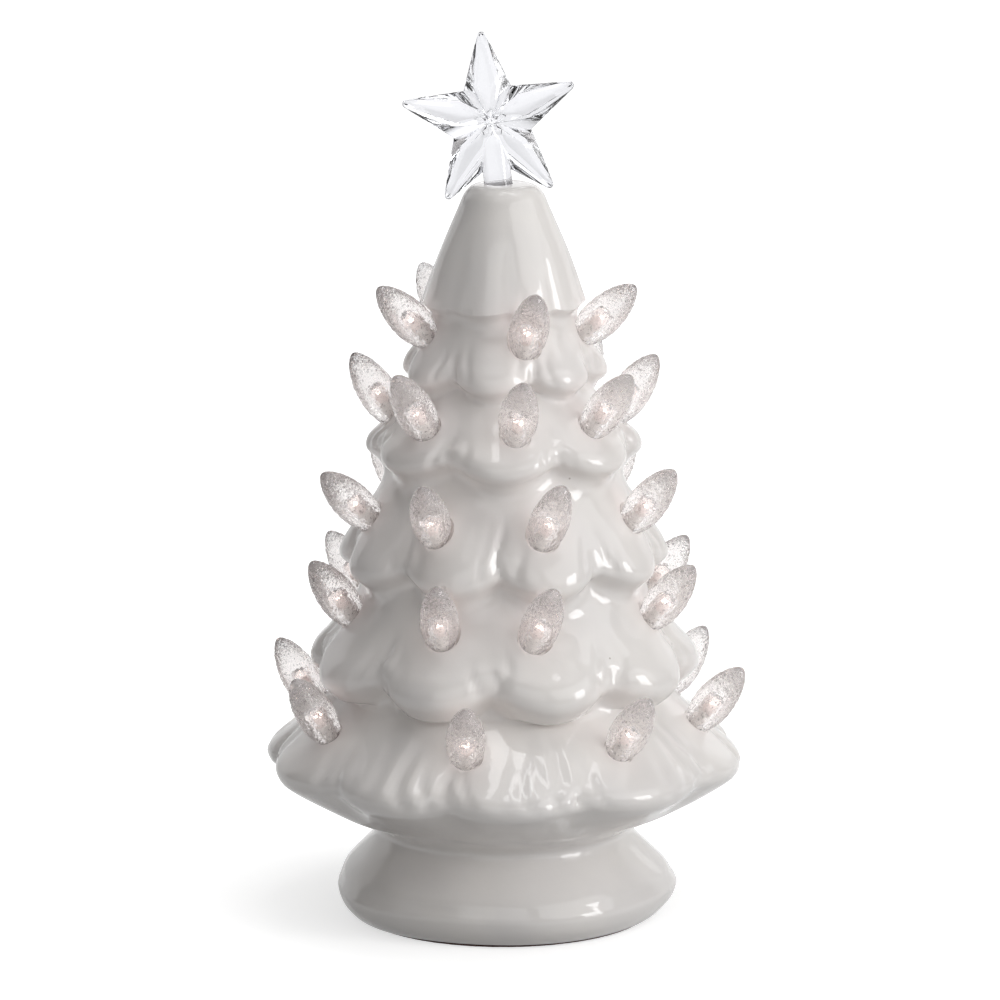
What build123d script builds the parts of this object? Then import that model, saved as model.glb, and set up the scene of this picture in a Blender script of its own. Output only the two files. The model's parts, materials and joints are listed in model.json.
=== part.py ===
from build123d import *
import math
import os
from typing import NamedTuple

# Ceramic Christmas tree: a hollow glazed casting with push-in bulbs, a clear star and a battery base.
# Millimetres, +Z up, origin on the floor under the tree's axis. The front faces -Y, and azimuths are
# degrees from the front that grow towards +X.

# Battery case: a round plate that closes the base, with a tray for three AAA cells
PLATE_CLEARANCE = 0.3
PLATE_THICKNESS = 3.2
SEAL_THICKNESS = 0.5
CELL_RADIUS = 5.25
CELL_LENGTH = 43.5
CELL_NUB_RADIUS = 1.9
CELL_NUB_LENGTH = 1.0
CELL_PITCH = 11.0
CELL_COUNT = 3
CELL_ROOM = 0.45
TRAY_WALL = 1.4
CONTACT_THICKNESS = 0.4
CONTACT_SIZE = 8.0
CONTACT_GAP = 0.1
SPRING_LENGTH = 4.4
SPRING_RADIUS = 3.3
SPRING_TIP_RADIUS = 2.2
SPRING_WALL = 0.7

# Foot of the casting, round the opening that the tray goes in through, and the felt pad under it
TRAY_ROOM = 2.03
LEDGE_WIDTH = 2.6
FOOT_LAND = 3.2
PAD_THICKNESS = 1.2
PAD_OVERHANG = 0.4
PAD_WIDTH = 3.0
TRAY_HALF_WIDTH = (CELL_COUNT - 1) * CELL_PITCH / 2 + CELL_RADIUS + CELL_ROOM
TRAY_HALF_LENGTH = (CELL_LENGTH + CELL_NUB_LENGTH + SPRING_LENGTH) / 2 + CONTACT_THICKNESS + CONTACT_GAP
OPENING_RADIUS = math.hypot(TRAY_HALF_WIDTH + TRAY_WALL, TRAY_HALF_LENGTH + TRAY_WALL) + TRAY_ROOM
RECESS_RADIUS = OPENING_RADIUS + LEDGE_WIDTH
FOOT_RADIUS = RECESS_RADIUS + FOOT_LAND


class BaseRing(NamedTuple):
    """One level ring of the base, with the height of its gentle waves."""
    radius: float
    height: float
    wave: float


class Tier(NamedTuple):
    """One tier of boughs: where it leaves the tier above, and its drooping lip."""
    notch_radius: float
    notch_height: float
    lip_radius: float
    lip_height: float
    lip_round: float
    valley_depth: float
    valley_rise: float
    boughs: list


class BulbPlace(NamedTuple):
    """How one bulb sits: its azimuth, how far it leans sideways, and its tilt above level."""
    azimuth: float
    lean: float
    tilt: float


# Outside of the casting, from the foot up. Bough azimuths are the middles of the drooping lobes.
BASE_RINGS = [
    BaseRing(FOOT_RADIUS, PAD_THICKNESS, 0.5),
    BaseRing(FOOT_RADIUS + 2.4, 2.0, 0.7),
    BaseRing(FOOT_RADIUS + 5.2, 4.9, 0.9),
    BaseRing(FOOT_RADIUS + 6.2, 8.4, 1.0),
    BaseRing(FOOT_RADIUS + 4.0, 12.8, 0.7),
    BaseRing(FOOT_RADIUS - 1.0, 18.0, 0.3),
    BaseRing(FOOT_RADIUS - 4.4, 22.0, 0.0),
]
UNDERSIDE_RINGS = [
    BaseRing(FOOT_RADIUS - 4.8, 24.6, 0.0),
    BaseRing(39.5, 27.6, 0.2),
    BaseRing(49.0, 32.0, 0.8),
]
BASE_WAVE_COUNTS = (5, 3)
BASE_WAVE_TURNS = (20.0, -50.0)
BASE_WAVE_SHARES = (0.6, 0.4)
TIERS = [
    Tier(12.2, 194.0, 22.2, 168.4, 1.8, 0.9, 0.8, [-108, -65, -15, 22, 56, 104, 155, 204]),
    Tier(20.2, 162.6, 27.8, 149.0, 3.2, 3.2, 2.5, [-60, -8, 44, 95, 146, 198, 249]),
    Tier(25.4, 143.0, 37.6, 127.6, 3.6, 3.8, 3.0, [-51, 0, 51, 103, 154, 206, 257]),
    Tier(33.0, 119.6, 44.9, 98.0, 4.4, 4.4, 3.5, [-61, -21, 19, 59, 99, 139, 179, 219, 259]),
    Tier(39.8, 88.4, 53.2, 68.4, 4.8, 4.8, 3.5, [-64, -24, 16, 56, 96, 136, 176, 216, 256]),
    Tier(44.8, 62.4, 64.6, 42.6, 3.6, 3.4, 1.5, [-100, -63, -30, 2, 38, 79, 116, 152, 188, 224]),
]
TOP_RINGS = [(10.6, 197.6), (8.6, 199.8), (6.5, 200.4)]
# Rings round a lip, from under it to above it, as shares of its rounding out from and up from the lip
LIP_RINGS = [(-1.05, -0.95), (-0.08, -0.25), (-0.22, 0.75)]
# Ring halfway down a slope, as shares of the way out and down from the notch to the lip
SLOPE_OUT = 0.55
SLOPE_DOWN = 0.48
SKIN_POINTS = 72

# Inside of the casting. The wall is measured level; the underside's wall is measured upwards.
WALL = 6.5
TOP_WALL = 15.0
CAVITY_TOP_RADIUS = 6.0
UNDERSIDE_WALL = 5.4
PLATE_SETBACK = 0.8
SILL_THICKNESS = 2.4

# Bulbs: a clear plastic egg on a hollow peg that slips over its light
BULB_LENGTH = 20.5
BULB_RADIUS = 5.3
BULB_SEAT_RADIUS = 3.4
BULB_WIDEST = 7.6
EGG_BLUNTNESS = 0.55
PEG_RADIUS = 2.6
PEG_LENGTH = 3.5
PEG_CLEARANCE = 0.15
BULB_BORE_RADIUS = 1.9
BULB_BORE_DEPTH = 8.6
SEAT_GAP = 0.1
SPOT_FACE_MARGIN = 0.6
BULB_CLEARANCE = 0.5
BULB_DRAW = 12.0
SOCKET_DEPTH = 20.0
SEAT_SEARCH = 8.0
SEARCH_STEPS = 20
BULB_ROWS = [
    (160.0, [BulbPlace(-72, 0, 46), BulbPlace(16, 0, 56), BulbPlace(84, -8, 44),
             BulbPlace(150, 0, 50), BulbPlace(222, 0, 50)]),
    (137.5, [BulbPlace(-92, 0, 58), BulbPlace(-43, -4, 56), BulbPlace(6, 6, 56), BulbPlace(51, 6, 52),
             BulbPlace(92, -6, 56), BulbPlace(143, 0, 52), BulbPlace(205, 0, 52)]),
    (111.5, [BulbPlace(-135, 0, 52), BulbPlace(-72, 6, 44), BulbPlace(-29, 12, 54), BulbPlace(16, 18, 58),
             BulbPlace(66, 0, 51), BulbPlace(135, 0, 52), BulbPlace(180, 0, 52)]),
    (84.5, [BulbPlace(-118, 0, 52), BulbPlace(-76, 8, 54), BulbPlace(-23, 16, 58), BulbPlace(11, 22, 57),
            BulbPlace(70, 0, 52), BulbPlace(112, 0, 52), BulbPlace(155, 0, 52), BulbPlace(198, 0, 52)]),
    (55.0, [BulbPlace(-105, 0, 58), BulbPlace(-62, 8, 56), BulbPlace(-11, 12, 54), BulbPlace(35, 8, 54),
            BulbPlace(78, -4, 51), BulbPlace(122, 0, 52), BulbPlace(168, 0, 52), BulbPlace(212, 0, 52)]),
]

# Lights: a grommet in each hole carries a post with the lamp on it
GROMMET_CLEARANCE = 0.05
GROMMET_GAP = 0.6
GROMMET_LENGTH = 9.0
POST_RADIUS = 1.5
LAMP_BASE_HEIGHT = 5.0
LAMP_STRAIGHT = 1.5
WIRE_RADIUS = 0.6
WIRE_STANDOFF = 1.2
WIRE_GAP = 0.2
BEND_SHARE = 0.45
RISER_PULL = 0.8

# Star topper on a round stem, leaning a little to the left
STAR_POINTS = 5
STAR_TIP_RADIUS = 24.2
STAR_VALLEY_RADIUS = 11.0
STAR_TIP_HALF_WIDTH = 0.9
STAR_RIM = 2.0
STAR_CROWN = 4.4
STAR_RISE = 17.0
STAR_LEAN = 6.5
STAR_OFFSET = 1.4
STEM_RADIUS = 3.8
STEM_WALL = 0.9
STEM_TOP_BELOW_CENTRE = 7.0
STEM_DEPTH = 11.0
STEM_CLEARANCE = 0.1
LIGHT_HOLE_RADIUS = 2.0

# Battery door, hinged on two pins and closed by one captive screw
DOOR_THICKNESS = 2.0
DOOR_GAP = 0.35
HINGE_PIN_RADIUS = 0.7
HINGE_CLEARANCE = 0.05
HINGE_PIN_LENGTH = 1.8
TAB_WIDTH = 9.0
TAB_LENGTH = 6.0
BOSS_RADIUS = 3.0
BOSS_HEIGHT = 8.0
SCREW_RADIUS = 1.1
SCREW_LENGTH = 6.0
SCREW_SWING_CLEARANCE = 0.55
SCREW_FIT_CLEARANCE = 0.05
SCREW_HEAD_RADIUS = 2.4
SCREW_HEAD_HEIGHT = 1.1
SCREW_SLOT_WIDTH = 0.7
SCREW_SLOT_DEPTH = 0.6

# Control board beside the tray, with its slide switch
BOARD_INSET = 11.6
BOARD_WIDTH = 10.4
BOARD_LENGTH = 27.0
BOARD_THICKNESS = 1.6
BOARD_HEIGHT = 10.0
BOARD_POST_INSET = 2.7
BOARD_POST_RADIUS = 2.2
BOARD_SCREW_RADIUS = 0.8
BOARD_SCREW_CLEARANCE = 0.05
BOARD_SCREW_LENGTH = 5.0
BOARD_SCREW_TIP_ROOM = 0.5
BOARD_SCREW_HEAD_RADIUS = 1.8
BOARD_SCREW_HEAD_HEIGHT = 1.2
BOARD_HOLE_CLEARANCE = 0.3
SWITCH_LENGTH = 11.0
SWITCH_WIDTH = 4.4
SWITCH_HEIGHT = 3.8
SWITCH_POCKET_DEPTH = 2.5
SWITCH_TRAVEL = 4.0
KNOB_LENGTH = 2.2
KNOB_WIDTH = 1.8
KNOB_CLEARANCE = 0.3
KNOB_CAP_LENGTH = 3.6
KNOB_CAP_WIDTH = 4.6
KNOB_CAP_THICKNESS = 0.5
KNOB_GAP = 0.1
CHIP_SIZE = (4.0, 5.0, 1.6)
CAPACITOR_RADIUS = 2.0
CAPACITOR_HEIGHT = 4.2
RESISTOR_SIZE = (1.6, 3.2, 0.6)
LEAD_RADIUS = 0.5
LEAD_HOLE_CLEARANCE = 0.15
LEAD_HEIGHT = 8.6
LEAD_REACH = 2.5
LEAD_SIDE_STEP = 1.0
LEAD_APPROACH = 4.0
LEAD_LANDING_INSET = 1.5
LEAD_ARCH = 1.6
LEAD_LANDING_HEIGHT = 0.6
TRUNK_LEAD_LIGHT = 6

# Sizes and places that follow from the sizes above
PAD_OUTER_RADIUS = FOOT_RADIUS + PAD_OVERHANG
PAD_INNER_RADIUS = PAD_OUTER_RADIUS - PAD_WIDTH
PLATE_BOTTOM = PAD_THICKNESS + PLATE_SETBACK
PLATE_TOP = PLATE_BOTTOM + PLATE_THICKNESS
LEDGE_HEIGHT = PLATE_TOP + SEAL_THICKNESS
PLATE_RADIUS = RECESS_RADIUS - PLATE_CLEARANCE
SOCKET_RADIUS = PEG_RADIUS + PEG_CLEARANCE
DOOR_TOP = PLATE_BOTTOM + DOOR_THICKNESS
HINGE_HEIGHT = PLATE_BOTTOM + DOOR_THICKNESS / 2
CELL_HEIGHT = DOOR_TOP + CELL_ROOM + CELL_RADIUS
TRAY_CEILING = CELL_HEIGHT + CELL_RADIUS + CELL_ROOM
HINGE_Y = -(TRAY_HALF_LENGTH - DOOR_GAP - DOOR_THICKNESS / 2)
SCREW_Y = TRAY_HALF_LENGTH + TAB_LENGTH / 2
BOARD_X = PLATE_RADIUS - BOARD_INSET
BOARD_POST_SPACING = BOARD_LENGTH - 2 * BOARD_POST_INSET
BOARD_TOP = BOARD_HEIGHT + BOARD_THICKNESS
SWITCH_BOTTOM = BOARD_HEIGHT - SWITCH_HEIGHT
TOP_HEIGHT = TOP_RINGS[-1][1]
LEFT_END = -1
RIGHT_END = 1
# Route of the lead from the board up through the neck, towards one light of the lowest row
TRUNK_LEAD = [(BOARD_X + 1.7, -5.2, BOARD_TOP + 0.7), (BOARD_X + 1.2, -4.6, BOARD_TOP + 4.4),
              (23.0, -2.0, 21.0), (21.4, 3.0, 27.0), (23.6, 9.6, 33.0)]


def upright(azimuth, radius, height):
    """Point at an azimuth from the front, a distance from the axis and a height."""
    turn = math.radians(azimuth)
    return Vector(radius * math.sin(turn), -radius * math.cos(turn), height)


def bough(azimuth, centres):
    """1 in the middle of a bough and 0 in the valley between two, with a round crown."""
    middles = sorted(centre % 360 for centre in centres)
    around = [middles[-1] - 360] + middles + [middles[0] + 360]
    here = azimuth % 360
    for before, after in zip(around, around[1:]):
        if before <= here < after:
            share = (here - before) / (after - before)
            return 1 - (1 - abs(1 - 2 * share)) ** 2
    return 1.0


def base_wave(azimuth):
    """Gentle unevenness of the hand-cast base round its edge."""
    waves = zip(BASE_WAVE_COUNTS, BASE_WAVE_TURNS, BASE_WAVE_SHARES)
    return sum(share * math.cos(math.radians(count * (azimuth - turn))) for count, turn, share in waves)


def tier_rings(tier, azimuth):
    """A tier's rings at one azimuth: under the lip, lip, above the lip, slope and notch."""
    crown = bough(azimuth, tier.boughs)
    lip = tier.lip_radius - tier.valley_depth * (1 - crown)
    height = tier.lip_height + tier.valley_rise * (1 - crown)
    rings = [(lip + out * tier.lip_round, height + up * tier.lip_round) for out, up in LIP_RINGS]
    rings.append((tier.notch_radius + SLOPE_OUT * (lip - tier.notch_radius),
                  tier.notch_height + SLOPE_DOWN * (height - tier.notch_height)))
    return rings + [(tier.notch_radius, tier.notch_height)]


def skin_rings(azimuth):
    """All rings of the casting at one azimuth, from the foot to the top."""
    wave = base_wave(azimuth)
    rings = [(ring.radius + ring.wave * wave, ring.height) for ring in BASE_RINGS + UNDERSIDE_RINGS]
    for tier in reversed(TIERS):
        rings += tier_rings(tier, azimuth)
    return with_halfway_rings(rings + TOP_RINGS)


def between_rings(rings, place):
    """Radius and height on the smooth curve through four rings, between the middle two."""
    weights = (
        -0.5 * place ** 3 + place ** 2 - 0.5 * place,
        1.5 * place ** 3 - 2.5 * place ** 2 + 1,
        -1.5 * place ** 3 + 2 * place ** 2 + 0.5 * place,
        0.5 * place ** 3 - 0.5 * place ** 2,
    )
    radius = sum(weight * ring[0] for weight, ring in zip(weights, rings))
    height = sum(weight * ring[1] for weight, ring in zip(weights, rings))
    return radius, height


def with_halfway_rings(rings):
    """The rings with one more halfway between each two, on the smooth curve through them."""
    around = [rings[0]] + rings + [rings[-1]]
    finer = []
    for first in range(len(rings) - 1):
        finer += [rings[first], between_rings(around[first:first + 4], 0.5)]
    return finer + [rings[-1]]


def slope_radius(tier_number, azimuth, height):
    """Radius of a tier's slope at a height, between its lip and its notch."""
    rings = tier_rings(TIERS[tier_number], azimuth)[1:]
    rings.append(tier_rings(TIERS[tier_number - 1], azimuth)[0])
    spans = [rings[0:4], rings[1:5]]
    span = spans[1] if height > rings[2][1] else spans[0]
    low, high = 0.0, 1.0
    for _ in range(SEARCH_STEPS):
        middle = (low + high) / 2
        if between_rings(span, middle)[1] > height:
            high = middle
        else:
            low = middle
    return between_rings(span, (low + high) / 2)[0]


class Seat(NamedTuple):
    """A bulb's seat: its node name, the middle of its seat face, and its outward axis."""
    name: str
    origin: Vector
    axis: Vector


def surface_offset(point, axis, tier_number):
    """How far along the axis from a point the tier's slope lies."""
    low, high = -SEAT_SEARCH, SEAT_SEARCH
    for _ in range(SEARCH_STEPS):
        middle = (low + high) / 2
        here = point + axis * middle
        azimuth = math.degrees(math.atan2(here.X, -here.Y))
        if math.hypot(here.X, here.Y) < slope_radius(tier_number, azimuth, here.Z):
            low = middle
        else:
            high = middle
    return (low + high) / 2


def bulb_seats():
    """Every bulb's seat, sunk just far enough for a whole flat ring of ceramic under the bulb."""
    seats = []
    rim = BULB_SEAT_RADIUS + SPOT_FACE_MARGIN
    for tier_number, (height, places) in enumerate(BULB_ROWS, 1):
        for number, place in enumerate(places, 1):
            radius = slope_radius(tier_number, place.azimuth, height)
            middle = upright(place.azimuth, radius, height)
            tilt = math.radians(place.tilt)
            axis = upright(place.azimuth + place.lean, math.cos(tilt), math.sin(tilt))
            face = Plane(origin=middle, z_dir=axis)
            around = [face.from_local_coords((rim * math.cos(turn), rim * math.sin(turn), 0))
                      for turn in (math.radians(step) for step in range(0, 360, 45))]
            depth = min(surface_offset(point, axis, tier_number) for point in around)
            seats.append(Seat(f"bulb_{tier_number}_{number}", middle + axis * depth, axis))
    return seats


def turned(profile):
    """Solid of revolution about Z from a closed outline of (radius, height) points."""
    outline = make_face(Plane.XZ * Polyline(*profile, close=True))
    return revolve(outline, axis=Axis.Z).solid()


def seated(solid, seat):
    """A solid made about Z, moved onto a bulb's seat."""
    return solid.moved(Plane(origin=seat.origin, z_dir=seat.axis).location)


def cylinder_between(radius, low, high):
    """Upright round bar between two heights."""
    return Pos(0, 0, low) * Cylinder(radius, high - low, align=(Align.CENTER, Align.CENTER, Align.MIN))


def round_topped_bar(radius, low, high):
    """Upright round bar between two heights, with half a ball on its top."""
    return cylinder_between(radius, low, high) + Pos(0, 0, high) * Sphere(radius)


def block(x_range, y_range, z_range):
    """Box between two limits on each axis."""
    size = [high - low for low, high in (x_range, y_range, z_range)]
    middle = [(high + low) / 2 for low, high in (x_range, y_range, z_range)]
    return Pos(*middle) * Box(*size)


def corner_radii(points):
    """The largest bend at each inner corner of a route that its two runs allow."""
    spots = [Vector(*point) for point in points]
    radii = []
    for before, here, after in zip(spots, spots[1:], spots[2:]):
        turn = math.radians((here - before).get_angle(after - here))
        shorter = min((here - before).length, (after - here).length)
        radii.append(BEND_SHARE * shorter / math.tan(turn / 2))
    return radii


def tube(points, radius):
    """Round wire along straight runs joined by bends."""
    path = FilletPolyline(*points, radius=corner_radii(points))
    section = Plane(origin=path @ 0, z_dir=path % 0) * Circle(radius)
    return sweep(section, path=path).solid()


def star_plane():
    """The stem's frame: its origin in the middle of the tree's top, leaning to the left."""
    lean = math.radians(STAR_LEAN)
    return Plane(origin=(-STAR_OFFSET, 0, TOP_HEIGHT), x_dir=(math.cos(lean), 0, math.sin(lean)),
                 z_dir=(-math.sin(lean), 0, math.cos(lean)))


def cavity():
    """Hollow of the casting: recess, opening, base, neck and every tier, a wall inside the skin."""
    below = 0
    profile = [(0, below), (RECESS_RADIUS, below), (RECESS_RADIUS, LEDGE_HEIGHT),
               (OPENING_RADIUS, LEDGE_HEIGHT), (OPENING_RADIUS, LEDGE_HEIGHT + SILL_THICKNESS)]
    profile += [(ring.radius - ring.wave - WALL, ring.height)
                for ring in BASE_RINGS if ring.height > LEDGE_HEIGHT + SILL_THICKNESS]
    neck = UNDERSIDE_RINGS[0]
    profile.append((neck.radius - WALL, neck.height))
    profile += [(ring.radius - ring.wave - WALL / 2, ring.height + UNDERSIDE_WALL)
                for ring in UNDERSIDE_RINGS[1:]]
    for tier in reversed(TIERS):
        profile.append((tier.lip_radius - tier.valley_depth - WALL, tier.lip_height + tier.valley_rise))
        if tier is not TIERS[0]:
            profile.append((tier.notch_radius - WALL, tier.notch_height))
    top = TOP_HEIGHT - TOP_WALL
    return turned(profile + [(CAVITY_TOP_RADIUS, top), (0, top)])


def socket_cutter():
    """What each bulb's hole takes out: socket, flat seat, and room to draw the bulb straight out."""
    spot = BULB_SEAT_RADIUS + SPOT_FACE_MARGIN
    relief = BULB_RADIUS + BULB_CLEARANCE
    drawn = BULB_WIDEST + BULB_DRAW + PEG_LENGTH
    return turned([(0, -SOCKET_DEPTH), (SOCKET_RADIUS, -SOCKET_DEPTH), (SOCKET_RADIUS, 0), (spot, 0),
                   (relief, BULB_WIDEST / 2), (relief, drawn), (0, drawn)])


def tree_body(seats):
    """The glazed casting: one smooth skin, its hollow, a hole for every bulb and the star's bore."""
    steps = [360 * step / SKIN_POINTS for step in range(SKIN_POINTS)]
    columns = [skin_rings(azimuth) for azimuth in steps]
    knots = [step / SKIN_POINTS for step in range(SKIN_POINTS + 1)]
    sections = []
    for level in zip(*columns):
        points = [upright(azimuth, *ring) for azimuth, ring in zip(steps, level)]
        sections.append(Wire([Edge.make_spline(points, periodic=True, parameters=knots)]))
    skin = Solid.make_loft(sections)
    bore_radius = STEM_RADIUS + STEM_CLEARANCE
    bore = turned([(0, -2 * TOP_WALL), (LIGHT_HOLE_RADIUS, -2 * TOP_WALL),
                   (LIGHT_HOLE_RADIUS, -STEM_DEPTH), (bore_radius, -STEM_DEPTH),
                   (bore_radius, STEM_DEPTH), (0, STEM_DEPTH)])
    cutter = socket_cutter()
    sockets = [seated(cutter, seat) for seat in seats]
    return skin.cut(cavity(), bore.moved(star_plane().location), *sockets).solid()


def egg_heights():
    """Heights of the points on the egg's outline, closer together towards the round tip."""
    shoulder = [BULB_WIDEST * share for share in (0, 0.3, 0.65)]
    taper = BULB_LENGTH - BULB_WIDEST
    return shoulder + [BULB_WIDEST + taper * math.sin(math.radians(turn)) for turn in range(0, 91, 15)]


def egg_radius(height):
    """The egg's radius: a quarter sine up from the seat, then a blunt cosine taper to the tip."""
    if height < BULB_WIDEST:
        swell = math.sin(math.pi / 2 * height / BULB_WIDEST)
        return BULB_SEAT_RADIUS + (BULB_RADIUS - BULB_SEAT_RADIUS) * swell
    share = min((height - BULB_WIDEST) / (BULB_LENGTH - BULB_WIDEST), 1)
    return BULB_RADIUS * max(math.cos(math.pi / 2 * share), 0) ** EGG_BLUNTNESS


def bulb():
    """One bulb about Z, its seat face at the origin: egg, peg and the bore over the lamp."""
    egg = Spline([(egg_radius(height), height) for height in egg_heights()])
    outline = egg + Polyline((0, BULB_LENGTH), (0, -PEG_LENGTH), (PEG_RADIUS, -PEG_LENGTH),
                             (PEG_RADIUS, 0), (BULB_SEAT_RADIUS, 0))
    body = revolve(make_face(Plane.XZ * outline), axis=Axis.Z).solid()
    bore = round_topped_bar(BULB_BORE_RADIUS, -PEG_LENGTH, BULB_BORE_DEPTH)
    return Pos(0, 0, SEAT_GAP) * (body - bore).solid()


def light_holder():
    """Grommet pushed into the hole from inside, with the post that carries the lamp."""
    top = -(PEG_LENGTH + GROMMET_GAP)
    grommet = cylinder_between(SOCKET_RADIUS - GROMMET_CLEARANCE, top - GROMMET_LENGTH, top)
    return (grommet + cylinder_between(POST_RADIUS, top, LAMP_BASE_HEIGHT)).solid()


def lamp():
    """Round-topped lamp on the end of its post."""
    return round_topped_bar(POST_RADIUS, LAMP_BASE_HEIGHT, LAMP_BASE_HEIGHT + LAMP_STRAIGHT).solid()


def short_of(point, before):
    """The end of a wire that comes from one point and stops just short of the wire through another."""
    end = Vector(*point)
    return tuple(end + (Vector(*before) - end).normalized() * (2 * WIRE_RADIUS + WIRE_GAP))


def wire_routes(seats):
    """Route of each row's wire past the inner ends of its lights, then up to the row above."""
    reach = PEG_LENGTH + GROMMET_GAP + GROMMET_LENGTH + WIRE_STANDOFF
    rows = []
    first = 0
    for _, places in BULB_ROWS:
        row = seats[first:first + len(places)]
        first += len(places)
        rows.append([tuple(seat.origin - seat.axis * reach) for seat in row])
    routes = []
    for upper, lower in zip([None] + rows, rows):
        routes.append(list(lower))
        if upper:
            x, y, z = (Vector(*lower[-1]) + Vector(*upper[0])) / 2
            halfway = (RISER_PULL * x, RISER_PULL * y, z)
            routes[-1] += [halfway, short_of(upper[0], halfway)]
    return routes


def star_topper():
    """Clear faceted star, its crown front and back, on the hollow stem that drops into the bore."""
    outline = []
    for number in range(STAR_POINTS):
        tip = math.radians(90 + 360 * number / STAR_POINTS)
        valley = tip + math.pi / STAR_POINTS
        for side in (-1, 1):
            outline.append((STAR_TIP_RADIUS * math.cos(tip) - side * STAR_TIP_HALF_WIDTH * math.sin(tip),
                            STAR_TIP_RADIUS * math.sin(tip) + side * STAR_TIP_HALF_WIDTH * math.cos(tip)))
        outline.append((STAR_VALLEY_RADIUS * math.cos(valley), STAR_VALLEY_RADIUS * math.sin(valley)))
    faces = []
    for (x1, z1), (x2, z2) in zip(outline, outline[1:] + outline[:1]):
        rims = [((x1, side * STAR_RIM / 2, z1), (x2, side * STAR_RIM / 2, z2)) for side in (-1, 1)]
        for side, rim in zip((-1, 1), rims):
            faces.append(Face(Wire.make_polygon([(0, side * STAR_CROWN, 0), *rim])))
        faces.append(Face(Wire.make_polygon([*rims[0], *reversed(rims[1])])))
    star = Pos(0, 0, STAR_RISE) * Solid(Shell(faces))
    stem_top = STAR_RISE - STEM_TOP_BELOW_CENTRE
    stem = round_topped_bar(STEM_RADIUS, SEAT_GAP - STEM_DEPTH, stem_top)
    hollow = round_topped_bar(STEM_RADIUS - STEM_WALL, SEAT_GAP - STEM_DEPTH, stem_top)
    return (star + stem - hollow).solid().moved(star_plane().location)


def ring(inner, outer, low, high):
    """Flat ring between two heights."""
    return (cylinder_between(outer, low, high) - cylinder_between(inner, low, high)).solid()


def battery_case():
    """Round plate with the cell tray, screw boss and board posts standing on it."""
    outer_x = TRAY_HALF_WIDTH + TRAY_WALL
    outer_y = TRAY_HALF_LENGTH + TRAY_WALL
    case = cylinder_between(PLATE_RADIUS, PLATE_BOTTOM, PLATE_TOP)
    case += block((-outer_x, outer_x), (-outer_y, outer_y), (PLATE_TOP, TRAY_CEILING + TRAY_WALL))
    case -= block((-TRAY_HALF_WIDTH, TRAY_HALF_WIDTH), (-TRAY_HALF_LENGTH, TRAY_HALF_LENGTH),
                  (PLATE_BOTTOM, TRAY_CEILING))
    screw = Pos(0, SCREW_Y, 0)
    case += screw * cylinder_between(BOSS_RADIUS, PLATE_TOP, PLATE_TOP + BOSS_HEIGHT)
    tab = TAB_WIDTH / 2 + DOOR_GAP
    tab_end = TRAY_HALF_LENGTH + TAB_LENGTH + DOOR_GAP
    case -= block((-tab, tab), (0, tab_end), (PLATE_BOTTOM, DOOR_TOP + DOOR_GAP))
    case -= screw * cylinder_between(SCREW_RADIUS + SCREW_SWING_CLEARANCE, PLATE_BOTTOM,
                                     PLATE_TOP + BOSS_HEIGHT - TRAY_WALL)
    pin_room = TRAY_HALF_WIDTH + HINGE_PIN_LENGTH
    pin_hole = Cylinder(HINGE_PIN_RADIUS + HINGE_CLEARANCE, 2 * pin_room)
    case -= Pos(0, HINGE_Y, HINGE_HEIGHT) * Rot(0, 90, 0) * pin_hole
    travel = SWITCH_TRAVEL / 2 + KNOB_LENGTH / 2 + KNOB_CLEARANCE
    half = KNOB_WIDTH / 2 + KNOB_CLEARANCE
    case -= block((BOARD_X - half, BOARD_X + half), (-travel, travel), (PLATE_BOTTOM, PLATE_TOP))
    for end in (LEFT_END, RIGHT_END):
        post = Pos(BOARD_X, end * BOARD_POST_SPACING / 2, 0)
        case += post * cylinder_between(BOARD_POST_RADIUS, PLATE_TOP, BOARD_HEIGHT)
        case -= post * cylinder_between(BOARD_SCREW_RADIUS + BOARD_SCREW_CLEARANCE,
                                        BOARD_TOP - BOARD_SCREW_LENGTH - BOARD_SCREW_TIP_ROOM, BOARD_HEIGHT)
        case -= Pos(TRAY_HALF_WIDTH, end * lead_y(), LEAD_HEIGHT) * Rot(0, 90, 0) * Cylinder(
            LEAD_RADIUS + LEAD_HOLE_CLEARANCE, 4 * TRAY_WALL)
    return case.solid()


def lead_y():
    """Distance of the battery leads' holes from the middle of the tray."""
    return TRAY_HALF_LENGTH - CONTACT_THICKNESS - 2 * LEAD_RADIUS


def cell_spots():
    """Each cell's place across the tray and the end, -1 or 1, that its nub points to."""
    first = -(CELL_COUNT - 1) * CELL_PITCH / 2
    return [(first + CELL_PITCH * number, 1 if number % 2 == 0 else -1) for number in range(CELL_COUNT)]


def along_tray(solid, x, end):
    """A solid made about Z from a tray wall at the origin, laid in the tray pointing at one end wall."""
    return Pos(x, 0, CELL_HEIGHT) * Rot(-90 * end, 0, 0) * solid


def battery_cells():
    """Three AAA cells side by side, turned alternately."""
    top = TRAY_HALF_LENGTH - CONTACT_THICKNESS - CONTACT_GAP
    shoulder = top - CELL_NUB_LENGTH
    cell = cylinder_between(CELL_RADIUS, shoulder - CELL_LENGTH, shoulder)
    cell += cylinder_between(CELL_NUB_RADIUS, shoulder, top)
    return [along_tray(cell.solid(), x, end) for x, end in cell_spots()]


def battery_springs():
    """One tapered contact spring at the flat end of each cell."""
    low = -TRAY_HALF_LENGTH + CONTACT_THICKNESS
    high = low + SPRING_LENGTH
    spring = turned([(SPRING_RADIUS - SPRING_WALL, low), (SPRING_RADIUS, low), (SPRING_TIP_RADIUS, high),
                     (SPRING_TIP_RADIUS - SPRING_WALL, high)])
    return [along_tray(spring, x, end) for x, end in cell_spots()]


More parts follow.
